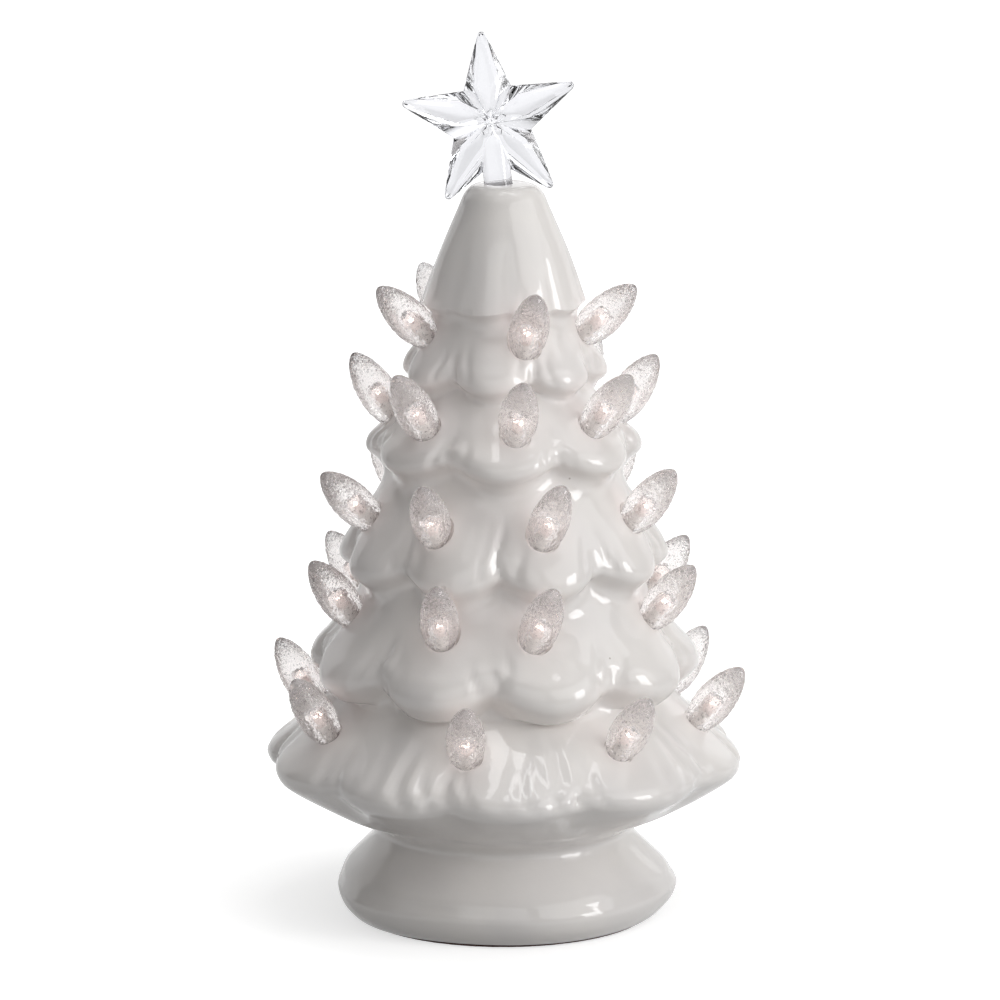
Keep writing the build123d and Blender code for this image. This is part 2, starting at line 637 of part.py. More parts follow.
def battery_contacts():
    """Plated contact at both ends of each cell, flat against the tray's end walls."""
    half = CONTACT_SIZE / 2
    z_range = (CELL_HEIGHT - half, CELL_HEIGHT + half)
    contacts = []
    for x, _ in cell_spots():
        for end in (LEFT_END, RIGHT_END):
            y_range = sorted((end * TRAY_HALF_LENGTH, end * (TRAY_HALF_LENGTH - CONTACT_THICKNESS)))
            contacts.append(block((x - half, x + half), y_range, z_range).solid())
    return contacts


def battery_door():
    """Flat door with a rounded hinge edge, two pins and the tab for its screw."""
    half = TRAY_HALF_WIDTH - DOOR_GAP
    door = block((-half, half), (HINGE_Y, TRAY_HALF_LENGTH - DOOR_GAP), (PLATE_BOTTOM, DOOR_TOP))
    tab = TAB_WIDTH / 2
    door += block((-tab, tab), (0, TRAY_HALF_LENGTH + TAB_LENGTH), (PLATE_BOTTOM, DOOR_TOP))
    hinge = Pos(0, HINGE_Y, HINGE_HEIGHT) * Rot(0, 90, 0)
    door += hinge * Cylinder(DOOR_THICKNESS / 2, 2 * half)
    door += hinge * Cylinder(HINGE_PIN_RADIUS, 2 * (half + HINGE_PIN_LENGTH))
    screw = Pos(0, SCREW_Y, 0)
    door -= screw * cylinder_between(SCREW_RADIUS + SCREW_FIT_CLEARANCE, PLATE_BOTTOM, DOOR_TOP)
    head_top = PLATE_BOTTOM + SCREW_HEAD_HEIGHT
    door -= screw * cylinder_between(SCREW_HEAD_RADIUS + DOOR_GAP, PLATE_BOTTOM, head_top)
    return door.solid()


def door_screw():
    """Captive screw, its slotted head sunk in the door's tab."""
    head_top = PLATE_BOTTOM + SCREW_HEAD_HEIGHT
    screw = cylinder_between(SCREW_HEAD_RADIUS, PLATE_BOTTOM, head_top)
    screw += cylinder_between(SCREW_RADIUS, head_top, head_top + SCREW_LENGTH)
    slot = SCREW_SLOT_WIDTH / 2
    screw -= block((-SCREW_HEAD_RADIUS, SCREW_HEAD_RADIUS), (-slot, slot),
                   (PLATE_BOTTOM, PLATE_BOTTOM + SCREW_SLOT_DEPTH))
    return Pos(0, SCREW_Y, 0) * screw.solid()


def control_board():
    """Board on its two posts."""
    half_x = BOARD_WIDTH / 2
    half_y = BOARD_LENGTH / 2
    board = block((BOARD_X - half_x, BOARD_X + half_x), (-half_y, half_y), (BOARD_HEIGHT, BOARD_TOP))
    for end in (LEFT_END, RIGHT_END):
        board -= Pos(BOARD_X, end * BOARD_POST_SPACING / 2, 0) * cylinder_between(
            BOARD_SCREW_RADIUS + BOARD_HOLE_CLEARANCE, BOARD_HEIGHT, BOARD_TOP)
    return board.solid()


def board_screws():
    """Two pan screws through the board into its posts."""
    screw = cylinder_between(BOARD_SCREW_HEAD_RADIUS, BOARD_TOP, BOARD_TOP + BOARD_SCREW_HEAD_HEIGHT)
    screw += cylinder_between(BOARD_SCREW_RADIUS, BOARD_TOP - BOARD_SCREW_LENGTH, BOARD_TOP)
    return [Pos(BOARD_X, end * BOARD_POST_SPACING / 2, 0) * screw.solid() for end in (LEFT_END, RIGHT_END)]


def board_components():
    """Timer chip, capacitor and resistor on the board's top."""
    side = BOARD_WIDTH / 4
    pitch = BOARD_LENGTH / 6
    chip_x, chip_y, chip_z = CHIP_SIZE
    resistor_x, resistor_y, resistor_z = RESISTOR_SIZE
    chip = Pos(BOARD_X - side, 0, BOARD_TOP + chip_z / 2) * Box(chip_x, chip_y, chip_z)
    capacitor = Pos(BOARD_X + side, pitch, 0) * cylinder_between(
        CAPACITOR_RADIUS, BOARD_TOP, BOARD_TOP + CAPACITOR_HEIGHT)
    resistor = Pos(BOARD_X + side, 0, BOARD_TOP + resistor_z / 2) * Box(resistor_x, resistor_y, resistor_z)
    return [chip.solid(), capacitor.solid(), resistor.solid()]


def switch_housing():
    """Slide switch under the board, open below for its knob."""
    half_x = SWITCH_WIDTH / 2
    half_y = SWITCH_LENGTH / 2
    pocket_x = KNOB_WIDTH / 2 + KNOB_CLEARANCE
    pocket_y = (SWITCH_TRAVEL + KNOB_LENGTH) / 2 + KNOB_CLEARANCE
    housing = block((BOARD_X - half_x, BOARD_X + half_x), (-half_y, half_y), (SWITCH_BOTTOM, BOARD_HEIGHT))
    housing -= block((BOARD_X - pocket_x, BOARD_X + pocket_x), (-pocket_y, pocket_y),
                     (SWITCH_BOTTOM, SWITCH_BOTTOM + SWITCH_POCKET_DEPTH))
    return housing.solid()


def switch_knob():
    """Knob at the ON end of its slot, with a flat cap under the plate."""
    y = -SWITCH_TRAVEL / 2
    cap_top = PLATE_BOTTOM - KNOB_GAP
    half_x = KNOB_WIDTH / 2
    half_y = KNOB_LENGTH / 2
    stem = block((BOARD_X - half_x, BOARD_X + half_x), (y - half_y, y + half_y),
                 (cap_top, SWITCH_BOTTOM + SWITCH_POCKET_DEPTH - KNOB_CLEARANCE))
    cap_x = KNOB_CAP_WIDTH / 2
    cap_y = KNOB_CAP_LENGTH / 2
    cap = block((BOARD_X - cap_x, BOARD_X + cap_x), (y - cap_y, y + cap_y),
                (cap_top - KNOB_CAP_THICKNESS, cap_top))
    return (stem + cap).solid()


def battery_leads():
    """Two leads from the end contacts, out through the tray's side wall and onto the board."""
    inside = TRAY_HALF_WIDTH - CELL_ROOM
    outside = TRAY_HALF_WIDTH + TRAY_WALL + LEAD_REACH
    board_side = outside + LEAD_SIDE_STEP
    landing = BOARD_LENGTH / 2 - LEAD_LANDING_INSET
    leads = []
    for end in (LEFT_END, RIGHT_END):
        route = [(inside, end * lead_y(), LEAD_HEIGHT), (outside, end * lead_y(), LEAD_HEIGHT),
                 (board_side, end * (landing + LEAD_APPROACH), BOARD_TOP + LEAD_ARCH),
                 (board_side, end * landing, BOARD_TOP + LEAD_LANDING_HEIGHT)]
        leads.append(tube(route, LEAD_RADIUS))
    return leads


def main():
    """Make every piece and write one file for each node."""
    os.makedirs("parts", exist_ok=True)
    seats = bulb_seats()
    nodes = {
        "tree_body": [tree_body(seats)],
        "star_topper": [star_topper()],
        "foot_pad": [ring(PAD_INNER_RADIUS, PAD_OUTER_RADIUS, 0, PAD_THICKNESS)],
        "case_seal": [ring(OPENING_RADIUS, PLATE_RADIUS, PLATE_TOP, LEDGE_HEIGHT)],
        "battery_case": [battery_case()],
        "battery_door": [battery_door()],
        "door_screw": [door_screw()],
        "battery_cells": battery_cells(),
        "battery_springs": battery_springs(),
        "battery_contacts": battery_contacts(),
        "battery_leads": battery_leads(),
        "control_board": [control_board()],
        "board_screws": board_screws(),
        "board_components": board_components(),
        "switch_housing": [switch_housing()],
        "switch_knob": [switch_knob()],
        "light_holders": [seated(light_holder(), seat) for seat in seats],
        "light_lamps": [seated(lamp(), seat) for seat in seats],
    }
    routes = wire_routes(seats)
    for number, route in enumerate(routes, 1):
        nodes[f"light_wire_{number}"] = [tube(route, WIRE_RADIUS)]
    lead_end = short_of(routes[-1][TRUNK_LEAD_LIGHT - 1], TRUNK_LEAD[-1])
    nodes["trunk_lead"] = [tube(TRUNK_LEAD + [lead_end], WIRE_RADIUS)]
    plain_bulb = bulb()
    for seat in seats:
        nodes[seat.name] = [seated(plain_bulb, seat)]
    for name, solids in nodes.items():
        export_step(solids[0] if len(solids) == 1 else Compound(children=solids), f"parts/{name}.step")


if __name__ == "__main__":
    main()
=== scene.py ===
import json
import math

import bmesh
import bpy
import numpy as np
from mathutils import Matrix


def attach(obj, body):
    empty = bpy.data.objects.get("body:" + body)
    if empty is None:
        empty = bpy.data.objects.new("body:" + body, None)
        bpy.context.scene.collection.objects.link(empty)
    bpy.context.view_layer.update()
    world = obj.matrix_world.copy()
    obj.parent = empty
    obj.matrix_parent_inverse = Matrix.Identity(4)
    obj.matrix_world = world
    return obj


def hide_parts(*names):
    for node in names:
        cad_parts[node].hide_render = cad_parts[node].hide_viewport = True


# A white glazed ceramic tree with clear bulbs and a clear star. Metres, +Z up, the front faces -Y.
# Azimuths are degrees from the front that grow towards +X.
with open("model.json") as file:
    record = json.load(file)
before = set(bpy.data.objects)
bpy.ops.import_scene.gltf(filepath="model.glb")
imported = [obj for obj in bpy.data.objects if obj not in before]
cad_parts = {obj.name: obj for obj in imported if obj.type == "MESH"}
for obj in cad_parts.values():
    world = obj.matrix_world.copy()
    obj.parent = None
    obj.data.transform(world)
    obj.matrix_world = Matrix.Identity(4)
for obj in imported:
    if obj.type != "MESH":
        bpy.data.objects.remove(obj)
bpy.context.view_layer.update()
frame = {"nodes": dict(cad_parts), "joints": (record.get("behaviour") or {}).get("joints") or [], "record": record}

MM = 0.001
SEED = 41
# Vertices closer than this, in millimetres, become one
MERGE_REACH = 0.004
# Rows on a round end, in degrees from its top
DOME_TURNS = (75, 60, 45, 30, 15)

# Camera, at the photograph's angle and distance
AIM_HEIGHT = 0.115
CAMERA_DISTANCE = 2.0
CAMERA_ELEVATION = 12.0
CAMERA_LENS = 267.1
CAMERA_SHIFT = (-0.0035, -0.0039)

# Studio: levels of the white room, and soft lamps as name, place, aim, size and power
WHITE = (1, 1, 1, 1)
ROOM_LIGHT = 0.1
FRONT_LEVEL = 0.18
CEILING_LEVEL = 0.2
CEILING_START = 0.25
CEILING_END = 0.8
WALL_START = 0.5
GLOSSY_WALL_END = 0.62
CLEAR_WALL_END = 0.93
FLOOR_HALF = 6.0
FLOOR_LIFT = 0.65
FLOOR_LIFT_START = 0.04
FLOOR_LIFT_END = 0.16
FLOOR_SHINE = 0.75
FLOOR_COLOR = (0.65, 0.65, 0.65, 1)
BOUNCE_COLOR = (0.48, 0.48, 0.48, 1)
LAMPS = [
    ("key", (1.25, -0.58, 0.42), (0, 0, 0.12), (0.45, 0.6), 5.6),
    ("wash", (1.03, -0.64, 0.82), (0, 0, 0.12), (1.6, 0.9), 6.4),
    ("front", (-0.2, -1.3, 0.6), (0, 0, 0.12), (0.9, 0.9), 2.6),
    ("fill", (-1.1, -0.6, 0.45), (0, 0, 0.12), (0.4, 0.9), 0.32),
    ("top", (0.05, -0.1, 1.4), (0, 0, 0.1), (1.5, 1.2), 4.4),
    ("strip_left", (-0.04, -0.12, 1.38), (0, 0, 0.1), (0.13, 0.55), 0.65),
    ("strip_right", (0.24, -0.12, 1.38), (0, 0, 0.1), (0.13, 0.55), 0.65),
    ("back", (0.3, 1.2, 0.75), (0, 0, 0.12), (1.2, 0.9), 1.4),
]

# Rings of the casting's outside, in millimetres: radius, height, depth of the base's waves
FOOT_RINGS = np.array([
    (40.3, 1.2, 0.5), (41.0, 0.85, 0.5), (42.5, 1.75, 0.7), (45.0, 4.8, 1.2), (46.0, 8.4, 1.3),
    (44.9, 10.6, 1.0), (43.8, 12.8, 0.7), (38.8, 18.0, 0.3), (35.4, 22.0, 0.0), (35.0, 24.6, 0.0),
    (39.5, 27.6, 0.2), (49.0, 32.0, 0.8),
])
WAVE_COUNTS = np.array([5, 3])
WAVE_TURNS = np.array([20.0, -50.0])
WAVE_SHARES = np.array([0.6, 0.4])
# Tiers from the lowest up: notch radius and height, lip radius and height, lip rounding,
# valley depth and rise
TIERS = np.array([
    (44.8, 62.4, 64.6, 42.6, 3.6, 2.8, 1.2),
    (39.8, 88.4, 53.2, 68.4, 4.8, 4.8, 3.5),
    (33.0, 119.6, 44.9, 98.0, 4.4, 4.4, 3.5),
    (25.4, 143.0, 37.6, 127.6, 3.6, 3.8, 3.0),
    (20.2, 162.6, 27.8, 149.0, 3.2, 3.2, 2.5),
    (12.2, 194.0, 22.2, 168.4, 1.8, 0.9, 0.8),
])
# Azimuths of the middles of each tier's boughs
BOUGHS = [
    [-100, -63, -30, 2, 38, 79, 116, 152, 188, 224],
    [-64, -24, 16, 56, 96, 136, 176, 216, 256],
    [-61, -21, 19, 59, 99, 139, 179, 219, 259],
    [-51, 0, 51, 103, 154, 206, 257],
    [-60, -8, 44, 95, 146, 198, 249],
    [-108, -65, -15, 22, 56, 104, 155, 204],
]
VALLEY_ROUNDING = 0.16
TOP_RINGS = np.array([(10.6, 197.6), (8.6, 199.8), (6.5, 200.4)])
LIP_RINGS = np.array([(-1.0, -1.1), (-0.02, -0.15), (-0.2, 0.95)])
SLOPE_OUT = 0.55
SLOPE_DOWN = 0.48
TIER_RINGS = 5
# Inside of the casting, in millimetres: radius and height, from the foot's inner edge up to the top
HOLLOW_RINGS = np.array([
    (36.6, 1.2), (36.6, 5.7), (34.0, 5.7), (34.0, 8.1), (38.5, 8.4), (36.6, 12.8), (32.0, 18.0), (28.9, 22.0),
    (28.5, 24.6), (36.05, 33.0), (44.95, 37.4), (54.7, 44.1), (38.3, 62.4), (41.9, 71.9), (33.3, 88.4),
    (34.0, 101.5), (26.5, 119.6), (27.3, 130.6), (18.9, 143.0), (18.1, 151.5), (13.7, 162.6), (14.8, 169.2),
    (6.0, 185.4),
])
AROUND = 288
ROW_STEP = 1.25
HOLLOW_ROW_STEP = 12.0
CASTING_SHARP = 40

# Needle grooves that show from the front: tier, azimuth, half width in millimetres, depth, first and
# last place on the slope, counted in rings from under the lip
FRONT_GROOVES = np.array([
    (0, 1, 2.4, 0.30, 1.2, 3.0), (0, 6, 1.9, 0.60, 1.4, 3.7), (0, 11, 1.7, 0.35, 1.2, 3.5),
    (0, -35, 2.2, 0.40, 1.1, 3.6), (0, -26, 2.3, 0.90, 1.0, 3.4), (0, -20, 1.6, 0.70, 0.9, 3.2),
    (0, -13, 1.5, 0.39, 1.2, 2.8), (0, 14, 1.9, 0.65, 1.4, 3.7), (0, 21, 1.8, 0.59, 1.2, 3.2),
    (0, 45, 2.0, 0.45, 1.0, 3.3), (0, 52, 1.8, 0.52, 1.2, 3.6), (0, -52, 1.9, 0.52, 1.2, 3.2),
    (1, -44, 2.5, 0.72, 1.0, 3.6), (1, -35, 2.0, 0.45, 1.3, 3.2), (1, 31, 2.1, 0.39, 1.1, 3.0),
    (1, 40, 1.9, 0.59, 1.0, 3.3), (2, -42, 2.0, 0.59, 1.0, 3.4), (2, -34, 1.8, 0.52, 1.2, 3.2),
    (2, 36, 1.6, 0.59, 0.9, 2.8), (2, 43, 1.5, 0.52, 0.9, 2.6), (3, -25, 1.9, 0.45, 1.0, 3.2),
    (3, 25, 2.0, 0.52, 1.0, 3.3), (4, -35, 1.6, 0.33, 1.0, 3.0), (4, 20, 1.6, 0.39, 1.0, 3.0),
    (5, 14, 1.5, 0.45, 1.0, 2.6), (5, 24, 1.2, 0.39, 1.0, 2.3), (5, -28, 1.6, 0.20, 1.0, 2.4),
])
# Folds beside each other in every valley, in degrees from its middle, and grooves on the sides and the back
VALLEY_FOLDS = (-5.5, 0.5, 6.0)
FOLD_SHIFT = 1.6
FOLD_REACH = 45.0
HIDDEN_GROOVES = (16, 12, 10, 8, 5, 4)
HIDDEN_FROM = 75.0
HIDDEN_TO = 285.0
HIDDEN_SPREAD = (0.1, 0.9)
# Ranges that the width, depth, first and last place of these are drawn from
FOLD_RANGES = ((0.9, 1.5), (0.25, 0.8), (0.7, 1.4), (2.6, 3.8))
HIDDEN_RANGES = ((1.1, 1.8), (0.5, 1.2), (0.9, 1.3), (2.8, 3.7))
# Fading at either end of a groove, in rings, and its wander in degrees along the slope
GROOVE_START = (-0.5, 0.4)
GROOVE_END = (-0.9, 0.3)
WANDER = 1.5
WANDER_RATE = 2.1
# Sine waves of the casting's unevenness: level in millimetres, rates along x, y and z, start
UNEVEN_WAVES = (
    (0.11, (0.11, 0.0, 0.07), 0.0), (0.11, (0.0, 0.13, -0.09), 1.0), (0.11, (0.1, 0.1, 0.05), 2.2),
    (0.05, (0.31, -0.24, 0.2), 0.0), (0.05, (0.0, 0.27, 0.29), 0.6),
)
# Rings over which grooves and unevenness come in above the foot, and fade out below the top
RELIEF_START = (1.5, 3.5)
RELIEF_END = (3.2, 1.5)

# Bulbs, in millimetres, about their own axis with the seat face at the origin
EGG_LENGTH = 20.5
EGG_RADIUS = 5.3
EGG_WIDEST = 7.6
EGG_BLUNTNESS = 0.55
SEAT_RADIUS = 3.4
SEAT_GAP = 0.1
PEG_RADIUS = 2.6
PEG_LENGTH = 3.5
BORE_RADIUS = 1.9
BORE_DEPTH = 8.6
BORE_DOME = (15, 40, 65, 90)
PEG_ROUNDING = 0.2
PEG_END_REACH = 0.05
SEAT_EDGE = 0.25
BULB_AROUND = 80
BULB_ROWS = 64
BORE_ROWS = len(BORE_DOME) + 2
BULB_ROW_SPREAD = 0.8
BULB_SHARP = 55
# Texture of a bulb: dimples on a spiral with raised seams between, and a net of facets near the seat
DIMPLES = 620
DIMPLE_SPREAD = 0.75
DIMPLE_TURN = 137.508
DIMPLE_JITTER = 12
DIMPLE_DEPTH = 0.26
DIMPLE_RADIUS = 0.55
DIMPLE_START = (0.3, 2.0)
DIMPLE_END = (2.2, 0.8)
SEAM_HEIGHT = 0.10
SEAM_WIDTH = 0.16
NET_COUNT = 6.5
NET_RISE = 1.1
NET_DEPTH = 0.35
NET_START = (0.0, 0.8)
NET_END = (4.0, 8.0)
# Lamps inside the bulbs and their light
LAMP_RADIUS = 1.5
LAMP_BASE = 5.0
LAMP_SHOULDER = 6.5
LAMP_TOP = 8.0
LAMP_AROUND = 20
LAMP_CORE = 0.34
LAMP_EMBER = 0.002
# Painted pink glow of the lamps on the glaze: its reach in millimetres and its level
SPILL_REACH = 7.0
SPILL_LEVEL = 0.13
# Painted glow on the bulbs' plastic: a halo on the bore round the lamp's tip, and a weaker veil over the egg's
# skin
HALO_REACH = 1.5
VEIL_REACH = 5.0
VEIL_LEVEL = 0.16

# Sockets that take the bulbs, in millimetres: radius, height along the bulb's axis
SOCKET_RINGS = np.array([(0, -20), (2.75, -20), (2.75, 0), (4.0, 0), (5.8, 3.8), (5.8, 23.1), (0, 23.1)])
SOCKET_AROUND = 48

# Star and stem, in millimetres
STAR_POINTS = 5
STAR_TIP_RADIUS = 24.2
STAR_VALLEY_RADIUS = 11.0
STAR_TIP_ROUNDING = 1.2
STAR_RIM = 2.0
STAR_BULGE = 0.35
RIM_TURNS = np.radians((30, 60, 90))
STAR_CROWN = 4.4
STAR_TIP_CROWN = 1.9
STAR_ARM_ROWS = 20
STAR_TIP_ROWS = 8
BLADE_SHARE = 0.5
BLADE_START = 0.3
BLADE_FLARE = 0.34
BLADE_STEP = 0.14
BLADE_STEP_SHARE = 0.1
BLADE_DROP = 0.2
BEVEL_START = 0.88
STAR_RISE = 17.0
STAR_LEAN = 6.5
STAR_FOOT = (-1.4, 0.0, 200.4)
STEM_RADIUS = 3.8
STEM_DEPTH = 10.9
STEM_TOP = 11.0
STEM_BORE = 2.9
STEM_BORE_TOP = -4.5
STEM_AROUND = 64
STEM_OVERRUN = 1
STAR_SHARP = 20
STAR_BORE_RINGS = np.array([(0, -32), (2.0, -32), (2.0, -11), (3.9, -11), (3.9, 11), (0, 11)])

# Soft rings under the base: points round the section and round the ring, and the section's shape
RING_SECTION = 20
RING_AROUND = 360
OBLONG_POWER = 0.4

# Finishes of the CAD nodes that still show, by slot: name, two colours, roughness, grain scale and height
PLASTICS = {
    "holder_rubber": ("pale_silicone", (0.78, 0.76, 0.73), (0.72, 0.70, 0.67), 0.5, 900.0, 0.0001),
    "case_plastic": ("pale_case_plastic", (0.74, 0.73, 0.70), (0.70, 0.69, 0.66), 0.42, 2600.0, 0.0001),
    "knob_black": ("black_knob_plastic", (0.025, 0.025, 0.026), (0.04, 0.04, 0.04), 0.4, 2600.0, 0.0001),
    "component_black": ("black_resin", (0.03, 0.03, 0.032), (0.05, 0.05, 0.05), 0.5, 2600.0, 0.0001),
    "board_green": ("green_board", (0.02, 0.13, 0.05), (0.015, 0.10, 0.04), 0.3, 1500.0, 0.00004),
    "cell_jacket": ("dark_cell_jacket", (0.10, 0.11, 0.13), (0.13, 0.14, 0.16), 0.3, 700.0, 0.00004),
    "wire_jacket": ("pale_wire_jacket", (0.72, 0.70, 0.66), (0.66, 0.64, 0.60), 0.45, 900.0, 0.0001),
}
FOAM = ("black_foam", (0.035, 0.035, 0.036), (0.02, 0.02, 0.021), 0.85, 2200.0, 0.0004)
STEEL = ("plated_steel", (0.66, 0.65, 0.62), (0.58, 0.57, 0.55), 0.22)


def finished_mesh(name, points, faces, sharp_angle=None):
    """A mesh object from vertex rows and faces, smooth-shaded, with edges above an angle kept sharp."""
    mesh = bpy.data.meshes.new(name)
    mesh.from_pydata(points.tolist(), [], faces)
    mesh.update()
    mesh.polygons.foreach_set("use_smooth", np.ones(len(mesh.polygons), bool))
    if sharp_angle is not None:
        mesh.set_sharp_from_angle(angle=math.radians(sharp_angle))
    piece = bpy.data.objects.new(name, mesh)
    bpy.context.scene.collection.objects.link(piece)
    return piece


def grid_quads(rows, columns, loop_rows, loop_columns):
    """Quads between the vertices of a grid, row by row, that can close on itself either way."""
    row, column = np.meshgrid(np.arange(rows if loop_rows else rows - 1),
                              np.arange(columns if loop_columns else columns - 1), indexing="ij")
    beside = (column + 1) % columns
    above = (row + 1) % rows
    return np.stack([row * columns + column, row * columns + beside,
                     above * columns + beside, above * columns + column], axis=-1).reshape(-1, 4)


def round_faces(rows, columns, first_pole=False, last_pole=False, loop=False):
    """Quads of a grid that closes on itself sideways, with a fan onto a pole at either end where asked.

    With loop, the last row joins the first one too.
    Vertex i * columns + j is row i, column j. The first pole follows the grid, and then the last pole.
    """
    faces = grid_quads(rows, columns, loop, True).tolist()
    edge = np.arange(columns)
    after = (edge + 1) % columns
    pole = rows * columns
    if first_pole:
        faces += np.stack([np.full(columns, pole), after, edge], axis=-1).tolist()
        pole += 1
    if last_pole:
        last = (rows - 1) * columns
        faces += np.stack([np.full(columns, pole), last + edge, last + after], axis=-1).tolist()
    return faces


def full_turn(count):
    """Evenly spaced turns once round, in degrees."""
    return 360 * np.arange(count) / count


def around_axis(radii, heights, turns):
    """Points (r sin t, -r cos t, z) for arrays of radius and height over an array of turns in degrees."""
    angle = np.radians(turns)
    return np.stack(np.broadcast_arrays(radii * np.sin(angle), -radii * np.cos(angle), heights), axis=-1)


def frame_of(axis):
    """A turned frame whose third column is the given axis, and whose first is level where it can be."""
    forward = np.asarray(axis, float) / np.linalg.norm(axis)
    side = np.cross((0.0, 0.0, 1.0), forward)
    if np.linalg.norm(side) < 1e-6:
        side = np.array((1.0, 0.0, 0.0))
    side /= np.linalg.norm(side)
    return np.stack([side, np.cross(forward, side), forward], axis=1)


def smooth_step(low, high, value):
    """0 below low, 1 above high, and 3 s^2 - 2 s^3 between."""
    share = np.clip((value - low) / (high - low), 0, 1)
    return share * share * (3 - 2 * share)


def bough_crown(azimuth, middles):
    """1 on a bough's middle and 0 in a valley, with s the share of the way from one middle to the next.

    It is 1 - (1 - a)^2, where a is |1 - 2 s| with its corner in the valley rounded off by a hyperbola.
    """
    ring = np.sort(np.mod(middles, 360))
    ring = np.concatenate(([ring[-1] - 360], ring, [ring[0] + 360]))
    here = np.mod(azimuth, 360)
    after = np.searchsorted(ring, here, side="right")
    share = (here - ring[after - 1]) / (ring[after] - ring[after - 1])
    rounded = np.hypot(1 - 2 * share, VALLEY_ROUNDING) - VALLEY_ROUNDING
    return 1 - (1 - rounded / (math.hypot(1, VALLEY_ROUNDING) - VALLEY_ROUNDING)) ** 2


def casting_rings(azimuth):
    """Radius and height of each ring of the casting's outside over an array of azimuths, in millimetres."""
    waves = np.cos(np.radians(WAVE_COUNTS[:, None] * (azimuth - WAVE_TURNS[:, None])))
    wave = (WAVE_SHARES[:, None] * waves).sum(axis=0)
    level = np.ones_like(azimuth)
    radii = [ring[0] + ring[2] * wave for ring in FOOT_RINGS]
    heights = [ring[1] * level for ring in FOOT_RINGS]
    for tier, middles in zip(TIERS, BOUGHS):
        notch_radius, notch_height, lip_radius, lip_height, rounding, depth, rise = tier
        crown = bough_crown(azimuth, middles)
        lip = lip_radius - depth * (1 - crown)
        height = lip_height + rise * (1 - crown)
        radii += [lip + out * rounding for out, _ in LIP_RINGS]
        heights += [height + up * rounding for _, up in LIP_RINGS]
        radii += [notch_radius + SLOPE_OUT * (lip - notch_radius), notch_radius * level]
        heights += [notch_height + SLOPE_DOWN * (height - notch_height), notch_height * level]
    radii += [radius * level for radius, _ in TOP_RINGS]
    heights += [height * level for _, height in TOP_RINGS]
    return np.array(radii), np.array(heights)


def through_rings(values, places):
    """Values on the smooth curve through the rings, at places counted in rings.

    The curve between two rings is a cubic of four neighbours.
    """
    last = len(values) - 1
    first = np.minimum(places.astype(int), last - 1)
    t = (places - first)[:, None]
    near = [values[np.clip(first + step, 0, last)] for step in (-1, 0, 1, 2)]
    weights = (-0.5 * t ** 3 + t ** 2 - 0.5 * t, 1.5 * t ** 3 - 2.5 * t ** 2 + 1,
               -1.5 * t ** 3 + 2 * t ** 2 + 0.5 * t, 0.5 * t ** 3 - 0.5 * t ** 2)
    return sum(weight * value for weight, value in zip(weights, near))


def spaced_places(radii, heights, step):
    """Places along a column of rings, so that neighbouring rows lie about a step apart."""
    lengths = np.hypot(np.diff(radii), np.diff(heights))
    counts = np.maximum(np.ceil(lengths / step).astype(int), 1)
    parts = [ring + np.arange(count) / count for ring, count in enumerate(counts)]
    return np.concatenate(parts + [[len(counts)]])


def normals_of(points):
    """Unit normals of a grid that closes sideways, from the cross product of its two differences."""
    along = np.gradient(points, axis=0)
    beside = np.roll(points, -1, axis=1) - np.roll(points, 1, axis=1)
    normal = np.cross(beside, along)
    return normal / np.maximum(np.linalg.norm(normal, axis=-1, keepdims=True), 1e-12)


def groove_rows(draw, tier, azimuth, ranges):
    """Grooves of one tier at some azimuths, with their other values drawn from ranges."""
    drawn = [draw.uniform(low, high, len(azimuth)) for low, high in ranges]
    return np.stack([np.full(len(azimuth), tier), azimuth, *drawn], axis=1)


def all_grooves():
    """The front's grooves, folds in every valley, and grooves drawn at random for the sides and the back."""
    draw = np.random.default_rng(SEED)
    rows = [FRONT_GROOVES]
    for tier, middles in enumerate(BOUGHS[:-1]):
        ring = np.sort(np.mod(middles, 360))
        valleys = (ring + np.append(ring[1:], ring[0] + 360)) / 2
        scale = FOLD_REACH / TIERS[tier, 2]
        for fold in VALLEY_FOLDS:
            shift = draw.uniform(-FOLD_SHIFT, FOLD_SHIFT, len(valleys))
            rows.append(groove_rows(draw, tier, valleys + scale * (fold + shift), FOLD_RANGES))
    for tier, count in enumerate(HIDDEN_GROOVES):
        share = (np.arange(count) + draw.uniform(*HIDDEN_SPREAD, count)) / count
        azimuth = HIDDEN_FROM + (HIDDEN_TO - HIDDEN_FROM) * share
        rows.append(groove_rows(draw, tier, azimuth, HIDDEN_RANGES))
    return np.concatenate(rows)


def groove_depth(places, azimuth, radii):
    """Depth of the needle grooves over the casting: bells across each groove that fade along the slope."""
    depth = np.zeros_like(radii)
    for tier, middle, width, deepest, start, end in all_grooves():
        on_slope = places - len(FOOT_RINGS) - TIER_RINGS * tier
        begun = smooth_step(start + GROOVE_START[0], start + GROOVE_START[1], on_slope)
        ended = smooth_step(end + GROOVE_END[0], end + GROOVE_END[1], on_slope)
        fade = begun * (1 - ended)
        wander = WANDER * np.sin(WANDER_RATE * on_slope + middle)
        across = np.radians(np.mod(azimuth[None, :] - middle - wander[:, None] + 180, 360) - 180) * radii
        depth += deepest * fade[:, None] * np.exp(-(across / width) ** 2)
    return depth


def unevenness(points):
    """Slow unevenness of a hand-poured casting: a few sine waves across each other, in millimetres."""
    return sum(level * np.sin(points @ rates + start) for level, rates, start in UNEVEN_WAVES)


